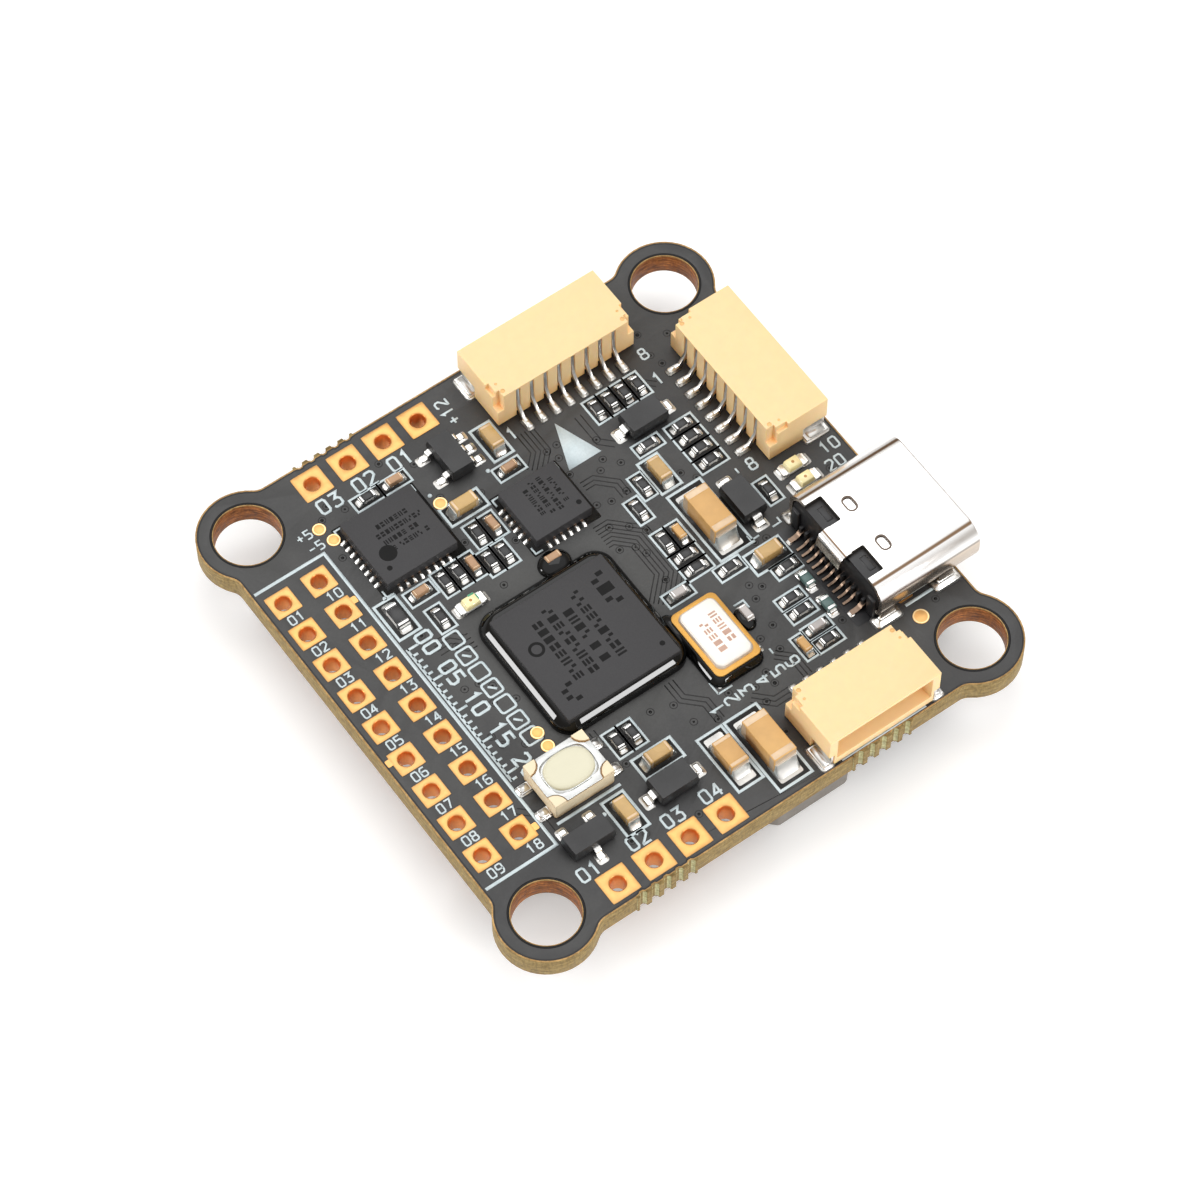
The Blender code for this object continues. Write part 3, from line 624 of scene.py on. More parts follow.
def make_core():
    """The laminate with its masked faces. Returns the outline of the top face, anticlockwise."""
    bm = copy_of("circuit_board")
    usb_low, _, usb_middle, _ = extent("usb_shell")
    masked, routed, plated, bored, torn = range(5)
    for face in bm.faces:
        middle = face.calc_center_median()
        if abs(face.normal.z) > 0.7:
            continue
        in_slot = usb_low.x - 0.4 < middle.x < 17.3 and abs(middle.y - usb_middle.y) < 4.8
        on_tab = abs(middle.x) < TAB_REACH and abs(middle.y) > 17.2 and abs(face.normal.y) < 0.93
        if near(middle, HOLES, 0.7) or in_slot:
            face.material_index = plated
        elif near(middle, MOUNT_PLACES, MOUNT_RADIUS + 0.1):
            face.material_index = bored
        else:
            face.material_index = torn if on_tab else routed
    rim = {}
    for edge in bm.edges:
        a, b = edge.verts
        if len(edge.link_faces) != 2 or any(abs(vert.co.z - TOP) > 0.001 for vert in edge.verts):
            continue
        if sorted(face.material_index for face in edge.link_faces) in ([masked, routed], [masked, torn]):
            rim.setdefault(a, []).append(b)
            rim.setdefault(b, []).append(a)
    start = next(iter(rim))
    loop, last, here = [], None, start
    while not loop or here is not start:
        loop.append(here)
        onward = [vert for vert in rim[here] if vert is not last]
        last, here = here, onward[0]
    outline = [(vert.co.x, vert.co.y) for vert in loop]
    if sum(a[0] * b[1] - a[1] * b[0] for a, b in zip(outline, outline[1:] + outline[:1])) < 0:
        outline.reverse()
    core = stand_in("circuit_board", bm, (MASK, EDGE, BARREL, BORE, TORN), "solder_mask", bevel=0.05)
    core.modifiers["Edges"].material = routed
    core.modifiers["Edges"].use_clamp_overlap = False
    return outline


def inset(outline, distance):
    """The anticlockwise outline moved inwards, each point square to the line between its neighbours."""
    points = [Vector(p) for p in outline]
    neighbours = zip(points[-1:] + points, points[1:] + points[:1])
    steps = [(after - before).normalized() * distance for before, after in neighbours]
    return [point + Vector((-step.y, step.x)) for point, step in zip(points, steps)]


def make_borders(outline):
    """Bare laminate showing along the routed edges, and the mask's dark edge beside it."""
    calm = [p for p in outline if abs(p[1]) < EDGE_Y + 0.001 or near(p, MOUNT_PLACES, 4.0)]
    width, ring_width, edge_width = 0.09, 0.05, 0.20
    for name, z, sign in (("front", TOP, 1), ("back", 0.0, -1)):
        low, high = sorted((z + sign * 0.001, z + sign * 0.006))
        bm = bmesh.new()
        ribbon(bm, inset(calm, width / 2), width, low, high, closed=True)
        for place in MOUNT_PLACES:
            ring(bm, place, MOUNT_RADIUS + ring_width, MOUNT_RADIUS, low, high, 64)
        piece(f"bare_rim_{name}", bm, RIM, "solder_mask")
        bm = bmesh.new()
        ribbon(bm, inset(calm, width * 1.5), width, low, high, closed=True)
        piece(f"mask_border_{name}", bm, MASK_DARK, "solder_mask")
        bm = bmesh.new()
        for place in MOUNT_PLACES:
            ring(bm, place, MOUNT_RADIUS + edge_width, MOUNT_RADIUS + ring_width, low, high, 64)
        piece(f"hole_border_{name}", bm, MASK_BLACK, "solder_mask")


def make_tab_faces(outline):
    """Bare laminate where the panel's tabs were broken off, past the mask."""
    bm = bmesh.new()
    runs = []
    for point in outline:
        if abs(point[1]) < EDGE_Y - 0.15 or abs(point[0]) > TAB_REACH:
            continue
        if not runs or math.dist(point, runs[-1][-1]) > 3.0:
            runs.append([])
        runs[-1].append(point)
    for run in runs:
        back = math.copysign(EDGE_Y - 0.05, run[0][1])
        shape = [(x, math.copysign(max(abs(y), EDGE_Y - 0.04), y)) for x, y in run]
        shape += [(run[-1][0], back), (run[0][0], back)]
        for low, high in ((TOP + 0.0065, TOP + 0.010), (-0.010, -0.0065)):
            plate(bm, shape, low, high)
    piece("broken_tab_faces", bm, EDGE, "solder_mask")


def pad_with_hole(bm, centre, half, steps=12):
    """Gold land on both faces, joined by the plated barrel."""
    angles = [math.radians(90 * i / steps) for i in range(4 * steps)]
    corner_reach = 1.385

    def square(size):
        reaches = [size * min(1 / max(abs(math.cos(a)), abs(math.sin(a))), corner_reach) for a in angles]
        return [(centre[0] + r * math.cos(a), centre[1] + r * math.sin(a)) for r, a in zip(reaches, angles)]

    land, worn = square(half), square(half - 0.03)
    mouth, throat, bore = (circle(centre, radius, 4 * steps) for radius in (0.56, 0.50, 0.47))
    # from the board's face over the land and down into the hole: outlines and their heights
    profile = ((land, 0.003), (land, 0.028), (worn, 0.042), (mouth, 0.042), (throat, 0.02), (bore, -0.06))
    loops = [levels(outline, TOP + rise)[0] for outline, rise in profile]
    loops += [levels(outline, -rise)[0] for outline, rise in profile[::-1]]
    loft(bm, loops, materials=(0, 0, 0, 0, 1, 1, 1, 0, 0, 0, 0, 1), joined=True)


def make_pads():
    for name, places, half in (
        ("header_pads", HEADER, 0.84),
        ("front_edge_pads", FRONT_ROW, 0.97),
        ("rear_edge_pads", REAR_ROW, 0.98),
    ):
        bm = bmesh.new()
        for place in places:
            pad_with_hole(bm, place, half)
        piece(name, bm, (GOLD, BARREL), "gold", sharp=50)
    bm = bmesh.new()
    foot, top = TOP + 0.002, TOP + 0.036
    for x, y, radius in (
        (-11.6, 13.1, 0.42), (-11.3, 12.0, 0.42), (-4.75, 10.4, 0.43), (-9.0, -5.55, 0.42),
        (-9.0, -6.6, 0.42), (13.7, -12.35, 0.5),
    ):
        outline, inner = (circle((x, y), radius - inward, 32) for inward in (0.0, 0.03))
        loft(bm, levels(outline, foot, top - 0.012) + levels(inner, top))
        # painted highlight: a paler ring just inside each round pad's rim
        ring(bm, (x, y), radius - 0.02, radius - 0.1, top + 0.001, top + 0.005, 32, 1)
    for x, y, half_x, half_y, corner in (
        (-12.63, 7.93, 0.2, 0.24, 0.08), (-12.63, -10.42, 0.2, 0.24, 0.08), (-17.07, -2.22, 0.2, 0.24, 0.08),
        (13.7, -10.75, 0.5, 0.22, 0.1),
    ):
        plate(bm, rounded_rectangle(half_x, half_y, corner, 3, (x, y)), foot, top)
    piece("test_pads", bm, (GOLD, GOLD_HIGHLIGHT), "gold", sharp=40)


# ---------------------------------------------------------------- traces and vias

# the middle line of a bundle of traces, how many there are, their spacing
BUSES = (
    (((1.9, -2.9), (3.5, -1.3), (3.5, 1.7), (2.3, 2.9), (1.6, 2.9)), 7, 0.27),
    (((-10.6, 2.4), (-9.6, 2.4), (-8.9, 1.7), (-8.5, 1.7)), 4, 0.34),
    (((-6.6, -7.3), (-6.6, -7.9), (-5.9, -8.6), (-4.4, -8.6)), 3, 0.34),
    (((-0.9, -7.3), (-0.9, -8.6), (0.1, -9.6), (0.1, -11.0)), 3, 0.3),
    (((2.4, -10.9), (3.4, -11.9), (4.4, -11.9), (5.6, -13.1)), 3, 0.32),
    (((1.2, 8.9), (2.2, 9.9), (2.2, 11.6)), 5, 0.28),
    (((5.4, 10.6), (5.4, 8.4), (6.1, 7.7)), 2, 0.4),
    (((2.8, 6.4), (3.6, 6.4), (4.6, 5.4), (4.6, 4.4)), 3, 0.3),
    (((9.5, 12.2), (9.5, 10.8), (10.6, 9.7)), 2, 0.36),
    (((-12.9, -9.0), (-12.0, -9.9), (-12.0, -12.0)), 2, 0.36),
    (((5.2, -9.4), (6.0, -10.2), (6.0, -11.6)), 3, 0.28),
)


def clear_of(x, y, boxes, gap):
    return all(not (a - gap < x < c + gap and b - gap < y < d + gap) for a, b, c, d in boxes)


def covered_boxes():
    """The ground plan of everything that stands on the component side."""
    boxes = []
    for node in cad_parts:
        low, high = extent(node)[:2]
        if node != "circuit_board" and high.z > TOP + 0.1:
            boxes.append((low.x, low.y, high.x, high.y))
    return boxes


def make_traces():
    """Lines where the mask sinks between copper, and rings round the tented vias."""
    foot, rise = TOP + TRACE_FOOT, TOP + TRACE_RISE
    bm = bmesh.new()
    for line, count, spacing in BUSES:
        for i in range(count):
            ribbon(bm, mitred(line, (i - (count - 1) / 2) * spacing), 0.07, foot, rise)
    piece("trace_gaps_front", bm, GROOVE, "solder_mask")

    covered, printed = covered_boxes(), [part[:4] for part in SMALL_PARTS]
    vias, most_vias, most_tries = [], 80, 6000
    for _ in range(most_tries):
        if len(vias) == most_vias:
            break
        place = x, y = random.uniform(-11.6, 16.0), random.uniform(-15.6, 16.4)
        kept_off = ((vias, 0.75), (MOUNT_PLACES, 3.1), (FRONT_ROW + REAR_ROW, 1.5))
        blocked = any(near(place, places, reach) for places, reach in kept_off)
        if clear_of(x, y, covered, 0.5) and clear_of(x, y, printed, 0.35) and not blocked:
            vias.append(place)
    bm = bmesh.new()
    for place in vias:
        ring(bm, place, 0.25, 0.2, foot, rise, 20)
        plate(bm, circle(place, random.uniform(0.07, 0.13), 14), foot, rise - 0.001, 1)
    piece("tented_vias_front", bm, (GROOVE, MASK_BLACK), "solder_mask")

    bm = bmesh.new()
    for _ in range(150):
        place = random.uniform(-16.2, 16.2), random.uniform(-15.6, 15.6)
        if not near(place, MOUNT_PLACES, 3.1) and not near(place, HOLES, 1.4):
            ring(bm, place, 0.27, 0.2, -TRACE_RISE, -TRACE_FOOT, 20)
    for start in (-2.4, 0.0, 2.4, 4.4):
        for i in range(6):
            x = start + i * 0.26
            line = ((x, -7.5), (x, -1.0), (x + 3.0, 2.0), (x + 3.0, 6.0))
            ribbon(bm, line, 0.075, -TRACE_RISE, -TRACE_FOOT)
    piece("trace_gaps_back", bm, GROOVE, "solder_mask")


# ---------------------------------------------------------------- silkscreen

# strokes of the plain characters, each in a box 0.6 wide and 1 high
DIGITS = {
    "0": ((
        (0.1, 0), (0.5, 0), (0.6, 0.15), (0.6, 0.85), (0.5, 1), (0.1, 1), (0, 0.85), (0, 0.15), (0.1, 0),
    ),),
    "1": (((0.1, 0.78), (0.32, 1), (0.32, 0)),),
    "2": (((0, 0.85), (0.12, 1), (0.48, 1), (0.6, 0.86), (0.6, 0.62), (0, 0.08), (0, 0), (0.6, 0)),),
    "3": ((
        (0, 1), (0.6, 1), (0.28, 0.6), (0.48, 0.58), (0.6, 0.45), (0.6, 0.13), (0.48, 0), (0.1, 0),
        (0, 0.12),
    ),),
    "4": (((0.44, 0), (0.44, 1)), ((0.44, 1), (0, 0.3), (0.62, 0.3))),
    "5": (((0.58, 1), (0, 1), (0, 0.56), (0.45, 0.56), (0.6, 0.42), (0.6, 0.14), (0.46, 0), (0, 0)),),
    "6": ((
        (0.55, 1), (0.15, 1), (0, 0.8), (0, 0.12), (0.12, 0), (0.48, 0), (0.6, 0.12), (0.6, 0.44),
        (0.48, 0.55), (0, 0.55),
    ),),
    "7": (((0, 1), (0.6, 1), (0.22, 0)),),
    "8": (
        (
            (0.12, 0.53), (0, 0.4), (0, 0.12), (0.12, 0), (0.48, 0), (0.6, 0.12), (0.6, 0.4), (0.48, 0.53),
            (0.12, 0.53),
        ),
        (
            (0.12, 0.53), (0.04, 0.66), (0.04, 0.88), (0.14, 1), (0.46, 1), (0.56, 0.88), (0.56, 0.66),
            (0.48, 0.53),
        ),
    ),
    "9": ((
        (0.05, 0), (0.45, 0), (0.6, 0.2), (0.6, 0.88), (0.48, 1), (0.12, 1), (0, 0.88), (0, 0.56),
        (0.12, 0.45), (0.6, 0.45),
    ),),
    "+": (((0.3, 0.15), (0.3, 0.85)), ((0, 0.5), (0.6, 0.5))),
    "-": (((0, 0.5), (0.6, 0.5)),),
}
# x0, y0, x1, y1 of the printed outline, and what it holds: a resistor, or a capacitor by its colour
SMALL_PARTS = (
    (-1.0, 9.45, 0.9, 10.5, "brown"), (-4.7, 6.4, -3.65, 8.3, "resistor"),
    (-3.65, 6.4, -2.55, 8.3, "brown"), (-9.05, 12.7, -7.1, 13.7, "resistor"),
    (-7.1, 12.7, -5.15, 13.7, "brown"), (-10.15, 5.45, -8.25, 6.55, "brown"),
    (-9.75, 3.0, -8.65, 4.9, "resistor"), (-8.1, 4.8, -7.12, 6.75, "resistor"),
    (-7.12, 4.8, -6.13, 6.75, "resistor"), (-6.13, 4.8, -5.15, 6.75, "brown"),
    (-5.15, 4.4, -4.12, 6.3, "resistor"), (-4.12, 4.4, -3.1, 6.3, "resistor"),
    (6.1, 9.35, 7.1, 11.2, "resistor"), (7.1, 9.35, 8.1, 11.2, "resistor"),
    (8.1, 9.35, 9.1, 11.2, "resistor"), (9.1, 9.35, 10.1, 11.2, "resistor"),
    (6.7, 6.0, 8.6, 6.95, "resistor"), (9.05, 5.95, 11.05, 6.9, "resistor"),
    (9.05, 4.95, 11.05, 5.95, "resistor"), (9.05, 3.95, 11.05, 4.95, "resistor"),
    (9.05, 2.9, 11.05, 3.95, "resistor"), (4.0, 2.2, 5.05, 4.05, "resistor"),
    (5.2, 3.4, 6.2, 5.3, "resistor"), (4.0, -0.5, 5.0, 1.35, "resistor"), (5.0, -0.5, 6.0, 1.35, "tan"),
    (4.0, -1.55, 5.95, -0.5, "resistor"), (4.0, -2.6, 5.95, -1.55, "resistor"),
    (2.1, -3.4, 4.0, -2.4, "grey"), (5.6, -3.75, 7.5, -2.7, "resistor"),
    (8.4, -5.6, 10.3, -4.6, "resistor"), (11.05, -1.2, 12.1, 0.7, "resistor"),
    (7.3, -7.45, 9.15, -6.5, "resistor"), (7.3, -8.5, 9.15, -7.5, "resistor"),
    (6.5, -10.9, 7.35, -9.1, "tan"), (7.4, -9.9, 9.25, -8.95, "grey"),
    (7.4, -10.95, 9.25, -9.95, "resistor"), (-6.15, -9.75, -5.12, -7.85, "resistor"),
    (-5.12, -9.75, -4.1, -7.85, "resistor"),
)
# x, y, turn and kind of the two small capacitors that sit in the underfill
SMALL_FILLED = ((-1.6, 3.3, 90, "brown"), (5.4, -6.35, 0, "grey"))
BIG_OUTLINES = (
    (6.4, -2.55, 8.8, 2.85), (0.1, -16.8, 2.4, -11.35), (-1.85, -15.45, -0.1, -11.35),
    (-0.5, 10.85, 0.9, 13.45), (-5.1, 8.65, -2.4, 10.05), (6.3, 3.2, 7.75, 5.75), (7.6, -4.6, 10.25, -3.05),
    (-8.7, -14.1, -7.2, -11.45), (-5.7, -11.7, -2.95, -10.2), (-12.0, 4.1, -10.5, 6.8),
)
# other printed lines, by their width
LINES = {
    0.2: (
        ((-17.2, 11.58), (-12.28, 11.58), (-12.28, -12.07), (-17.2, -12.07)),
        ((-11.5, -11.05), (-7.05, -11.05)), ((13.4, -11.25), (15.4, -11.25)),
    ),
    0.14: (((4.2, -17.23), (10.3, -17.23)),),
    0.12: (
        ((1.0, -9.6), (1.0, -8.7)), ((1.0, -9.6), (2.0, -9.6)), ((5.2, -5.4), (5.9, -5.4), (5.9, -6.0)),
        ((5.2, -9.3), (5.2, -8.9)), ((8.7, 2.15), (8.7, 1.75)), ((10.9, 2.15), (10.9, 1.75)),
        ((8.7, -2.0), (8.7, -2.4), (9.3, -2.4)), ((10.9, -2.0), (10.9, -2.4), (10.3, -2.4)),
    ),
}


def numeral(bm, text, centre, height, turn=0.0, weight=0.17, face=1):
    """Strokes of a plain number, centred on a point. Face -1 is the underside, read from below."""
    width, advance = 0.6, 0.92
    total = advance * (len(text) - 1) + width
    low, high = (TOP + SILK_FOOT, TOP + SILK_RISE) if face > 0 else (-SILK_RISE, -SILK_FOOT)
    for place, letter in enumerate(text):
        for layer, stroke in enumerate(DIGITS[letter]):
            closed = stroke[0] == stroke[-1]
            line = stroke[:-1] if closed else stroke
            start = place * advance - total / 2
            flat = [((x + start) * height * face, (y - 0.5) * height) for x, y in line]
            top = high + layer * STROKE_LIFT
            ribbon(bm, turned(flat, centre, turn), weight * height, low, top, closed)


def silk_line(bm, points, width=0.14, closed=False):
    ribbon(bm, points, width, TOP + SILK_FOOT, TOP + SILK_RISE, closed)


def make_silk_outlines():
    bm = bmesh.new()
    for width, lines in LINES.items():
        for line in lines:
            silk_line(bm, line, width)
    for boxes, width in (([part[:4] for part in SMALL_PARTS], 0.135), (BIG_OUTLINES, 0.17)):
        for box in boxes:
            silk_line(bm, rectangle(*box), width, True)
    pin_dots = ((-4.95, 11.2), (-1.15, 10.6), (-11.1, 6.95), (-8.95, -12.1))
    triangle = ((4.0, 11.0), (2.8, 7.8), (5.15, 7.8))
    for shape in (triangle, *(circle(place, 0.14, 16) for place in pin_dots)):
        plate(bm, shape, TOP + SILK_FOOT, TOP + SILK_RISE)
    # corner marks round the two square chips
    for centre_x, centre_y, half in ((-8.2, 9.7, 2.75), (0.1, 6.5, 2.25)):
        for sx, sy in ((1, 1), (-1, -1), (-1, 1)):
            x, y = centre_x + sx * half, centre_y + sy * half
            silk_line(bm, ((x - sx * 0.5, y), (x, y), (x, y - sy * 0.5)), 0.12)
    piece("silkscreen_outlines", bm, SILK, "solder_mask")


def make_silk_numerals():
    bm = bmesh.new()
    for number, (_, y) in enumerate(HEADER, 1):
        numeral(bm, f"{number:02d}", (-16.05 if number <= HEADER_ROWS else -13.35, y - PITCH / 2), 0.6)
    for number, (x, _) in enumerate(FRONT_ROW[1:], 1):
        numeral(bm, f"0{number}", (x + 0.1, 14.25), 0.95)
    for number, x in enumerate((-11.8, -8.35, -5.9, -3.2), 1):
        numeral(bm, f"0{number}", (x, -14.55), 0.85)
    for number, x in enumerate((0.4, 1.4, 2.5, 3.65, 4.75, 5.8), 1):
        numeral(bm, str(number), (x, -10.35), 0.8, 90)
    for text, x, y, height, turn in (
        ("+12", -0.75, 15.4, 0.75, 90), ("+5", -12.6, 13.2, 0.6, 0), ("-5", -12.4, 12.2, 0.6, 0),
        ("1", 1.5, 11.9, 0.8, 0), ("8", 11.2, 11.9, 0.75, 0), ("1", 10.9, 9.95, 0.8, 0),
        ("8", 11.9, 1.85, 0.8, 0), ("10", 16.45, 0.2, 0.75, 0), ("20", 16.0, -1.0, 0.75, 0),
    ):
        numeral(bm, text, (x, y), height, turn)
    piece("silkscreen_numerals", bm, SILK, "solder_mask")


def make_silk_scale():
    """A ruler with numbers, and a row of plain squares beside it."""
    bm = bmesh.new()
    spine, top, tick_pitch, ticks, numbered = -12.0, 3.3, 0.5, 22, 5
    for i in range(ticks):
        y = top - i * tick_pitch
        silk_line(bm, ((spine, y), (spine + (0.4 if i % numbered else 0.75), y)), 0.16)
    silk_line(bm, ((spine, top + 0.08), (spine, top - (ticks - 1) * tick_pitch - 0.08)), 0.18)
    for i in range(5):
        numeral(bm, f"{numbered * i:02d}", (-10.72, top - 0.2 - i * numbered * tick_pitch), 0.95, -90, 0.19)
    for i in range(7):
        y = 2.3 - i * 1.3
        silk_line(bm, rounded_rectangle(0.5, 0.5, 0.15, 2, (-9.4, y)), 0.15, True)
        if i % 2:
            silk_line(bm, ((-9.6, y + 0.2), (-9.2, y - 0.2)), 0.15)
    piece("silkscreen_scale", bm, SILK, "solder_mask")


# ---------------------------------------------------------------- solder and chip parts


def solder_mound(bm, x, y, z, foot, top, height, material=0, swell=0.0, place=Matrix()):
    """A concave fillet from a pad's outline up to what is soldered on it."""
    loops = []
    steps = 5
    for i in range(steps + 1):
        share = i / steps
        pull = (1 - share) ** 2.2 + swell * share * (1 - share)
        half_x, half_y = (t + (f - t) * pull for f, t in zip(foot, top))
        radius = min(half_x, half_y) * 0.45
        loops += levels(rounded_rectangle(half_x, half_y, radius, 3, (x, y)), z + height * share)
    loft(bm, loops, material, place=place)


def chip_part(name, x, y, turn, kind, size=(1.0, 0.5, 0.35), replaces=()):
    """A ceramic chip part along Y, its plated ends and its solder."""
    length, width, height = size
    resistor, large = kind == "resistor", length > 1.8
    bm = bmesh.new()
    half = length / 2
    cap = length * (0.2 if length < 1.5 else 0.17)
    lift, end_foot = 0.05, 0.03
    edge = min(0.07, height * 0.14)
    if resistor:
        core, glaze = (width / 2, half - 0.02), (width / 2 - 0.02, half - cap)
        rounded_box(bm, (-core[0], -core[1], lift), (*core, height - 0.04), edge * 0.5, 2, 2)
        rounded_box(bm, (-glaze[0], -glaze[1], height - 0.07), (*glaze, height), edge * 0.5, 2, 0)
        end_top, end_half = height - 0.01, width / 2 + 0.01
    else:
        core = (width / 2 - 0.012, half - 0.03)
        rounded_box(bm, (-core[0], -core[1], lift), (*core, height - 0.012), edge, 3, 0)
        end_top, end_half = height, width / 2
    foot = (width * 0.52, cap * 0.5 + 0.12 + 0.09 * length)
    for side in (-1, 1):
        end, inner, centre_y = (side * (half - cap * share) for share in (0.0, 1.0, 0.2))
        rounded_box(bm, (-end_half, end, end_foot), (end_half, inner, end_top), edge, 3, 1)
        solder_mound(bm, 0.0, centre_y, SOLDER_FOOT, foot, (width * 0.47, cap * 0.42), height * 0.66, 3)
        if large:
            land = rounded_rectangle(width * 0.50, 0.42, 0.12, 3, (0.0, side * (half + 0.36)))
            plate(bm, land, SOLDER_FOOT, 0.03, 4)
    moved(bm, place_on(x, y, TOP, turn))
    ends = CAP_END if kind in ("tan", "gold", "brown") else TIN
    slot = "resistor" if resistor else "capacitor"
    piece(name, bm, (CHIP_BODIES[kind], ends, ALUMINA, SOLDER, LAND), slot, replaces=replaces, sharp=50)


def make_small_parts():
    counts = {"chip_resistor": 0, "chip_capacitor": 0}
    for x0, y0, x1, y1, kind in SMALL_PARTS:
        word, height = ("chip_resistor", 0.36) if kind == "resistor" else ("chip_capacitor", 0.5)
        counts[word] += 1
        turn = (90 if x1 - x0 > y1 - y0 else 0) + random.uniform(-2.0, 2.0)
        chip_part(f"{word}_{counts[word]}", (x0 + x1) / 2, (y0 + y1) / 2, turn, kind, (1.0, 0.5, height))
    # painted shade: darker patches of mask inside each part's printed outline
    bm = bmesh.new()
    for box, gap in [(part[:4], 0.1) for part in SMALL_PARTS] + [(box, 0.12) for box in BIG_OUTLINES]:
        plate(bm, rectangle(*box, gap), TOP + 0.0006, TOP + 0.0035)
    piece("part_shade_patches", bm, PART_SHADE, "solder_mask")
    for number, (x, y, turn, kind) in enumerate(SMALL_FILLED, 1):
        chip_part(f"chip_capacitor_filled_{number}", x, y, turn, kind, (1.0, 0.5, 0.6))

    kinds = {f"capacitor_0603_{i}": "gold" for i in range(1, 7)}
    kinds.update({"capacitor_0805": "tan", "capacitor_1206_a": "tan", "capacitor_1206_b": "tan"})
    kinds["resistor_0603"] = "resistor"
    for node, kind in kinds.items():
        _, high, centre, half = extent(node)
        size = (2 * max(half.x, half.y), 2 * min(half.x, half.y), high.z - TOP)
        chip_part(node, centre.x, centre.y, 90 if half.x > half.y else 0, kind, size, replaces=(node,))


def make_leds():
    for node in ("status_led_left", "power_led", "status_led_right"):
        _, high, centre, half = extent(node)
        height = high.z - TOP
        bm = bmesh.new()
        rounded_box(bm, (-half.x + 0.02, -half.y, 0.05), (half.x - 0.02, half.y, 0.24), 0.03, 2)
        lens = (half.x * 0.62, half.y - 0.02)
        loops = []
        for shrink, z in ((0.0, 0.22), (0.02, 0.4), (0.05, height - 0.04), (0.09, height)):
            loops += levels(rounded_rectangle(lens[0] - shrink, lens[1] - shrink, 0.06, 3), z)
        loft(bm, loops, 1)
        foot, top = (0.36, half.y * 1.05), (0.1, half.y * 0.85)
        for side in (-1, 1):
            end, inner = side * half.x, side * (half.x - 0.3)
            rounded_box(bm, (end, -half.y - 0.005, 0.03), (inner, half.y + 0.005, 0.28), 0.04, 2, 2)
            solder_mound(bm, side * (half.x + 0.02), 0, SOLDER_FOOT, foot, top, 0.26, 3)
        plate(bm, circle((0.0, 0.0), 0.1, 14), height - 0.01, height + 0.004, 4)
        if node == "status_led_left":
            # the green polarity mark
            mark_top = height + 0.006
            rounded_box(bm, (0.0, half.y - 0.16, height - 0.01), (0.4, half.y - 0.02, mark_top), 0.004, 1, 5)
            rounded_box(bm, (0.4, -0.2, height - 0.02), (0.5, 0.2, mark_top), 0.004, 1, 5)
        moved(bm, place_on(centre.x, centre.y, TOP))
        stand_in(node, bm, (ALUMINA, LENS, TIN, SOLDER, DIE, GREEN), "led", sharp=45)


def make_protection():
    for node in ("usb_protection_a", "usb_protection_b"):
        _, high, centre, half = extent(node)
        height = high.z - TOP
        bm = bmesh.new()
        rounded_box(bm, (-half.x, -half.y * 0.5, 0.05), (half.x, half.y * 0.5, height), 0.05, 2)
        for side in (-1, 1):
            end, inner = side * half.y, side * half.y * 0.45
            rounded_box(bm, (-half.x - 0.01, end, 0.03), (half.x + 0.01, inner, height - 0.02), 0.06, 3, 1)
            solder_mound(bm, 0, end * 1.1, SOLDER_FOOT, (half.x * 1.1, 0.3), (half.x * 0.7, 0.06), 0.24, 2)
        moved(bm, place_on(centre.x, centre.y, TOP))
        stand_in(node, bm, (GREEN_GREY, TIN, SOLDER), "chip_plastic", sharp=45)


# ---------------------------------------------------------------- leaded parts


def leaded(name, size, leads, place):
    """A moulded body with drafted sides and gull-wing leads. Each lead is (x, side, width, reach)."""
    bm = bmesh.new()
    half_x, half_y, height = size[0] / 2, size[1] / 2, size[2]
    waist, draft, lead_foot = height * 0.52, 0.07, 0.10
    loops = []
    for z, inward in ((0.1, draft), (waist, 0.0), (waist + 0.02, 0.0), (height, draft)):
        loops += levels(rounded_rectangle(half_x - inward, half_y - inward, 0.05, 2), z)
    loft(bm, loops)
    knee = height * 0.5
    for x, side, width, reach in leads:
        path = [
            (half_y - 0.15, knee), (half_y + reach * 0.42, knee), (half_y + reach * 0.5, lead_foot + 0.02),
            (half_y + reach, lead_foot),
        ]
        mirror = Matrix.Diagonal((1, side, 1, 1))
        strip_path(bm, smooth_path(path), 0.12, x - width / 2, x + width / 2, 1, mirror)
        foot, top = (width * 0.85, reach * 0.75), (width * 0.5, reach * 0.3)
        solder_mound(bm, x, side * (half_y + reach * 0.9), SOLDER_FOOT, foot, top, 0.2, 2)
    moved(bm, place)
    body = CHIP if name == "video_overlay_chip" else CHIP_SMALL
    stand_in(name, bm, (body, TIN, SOLDER), "chip_plastic", bevel=0.035, bevel_angle=50)


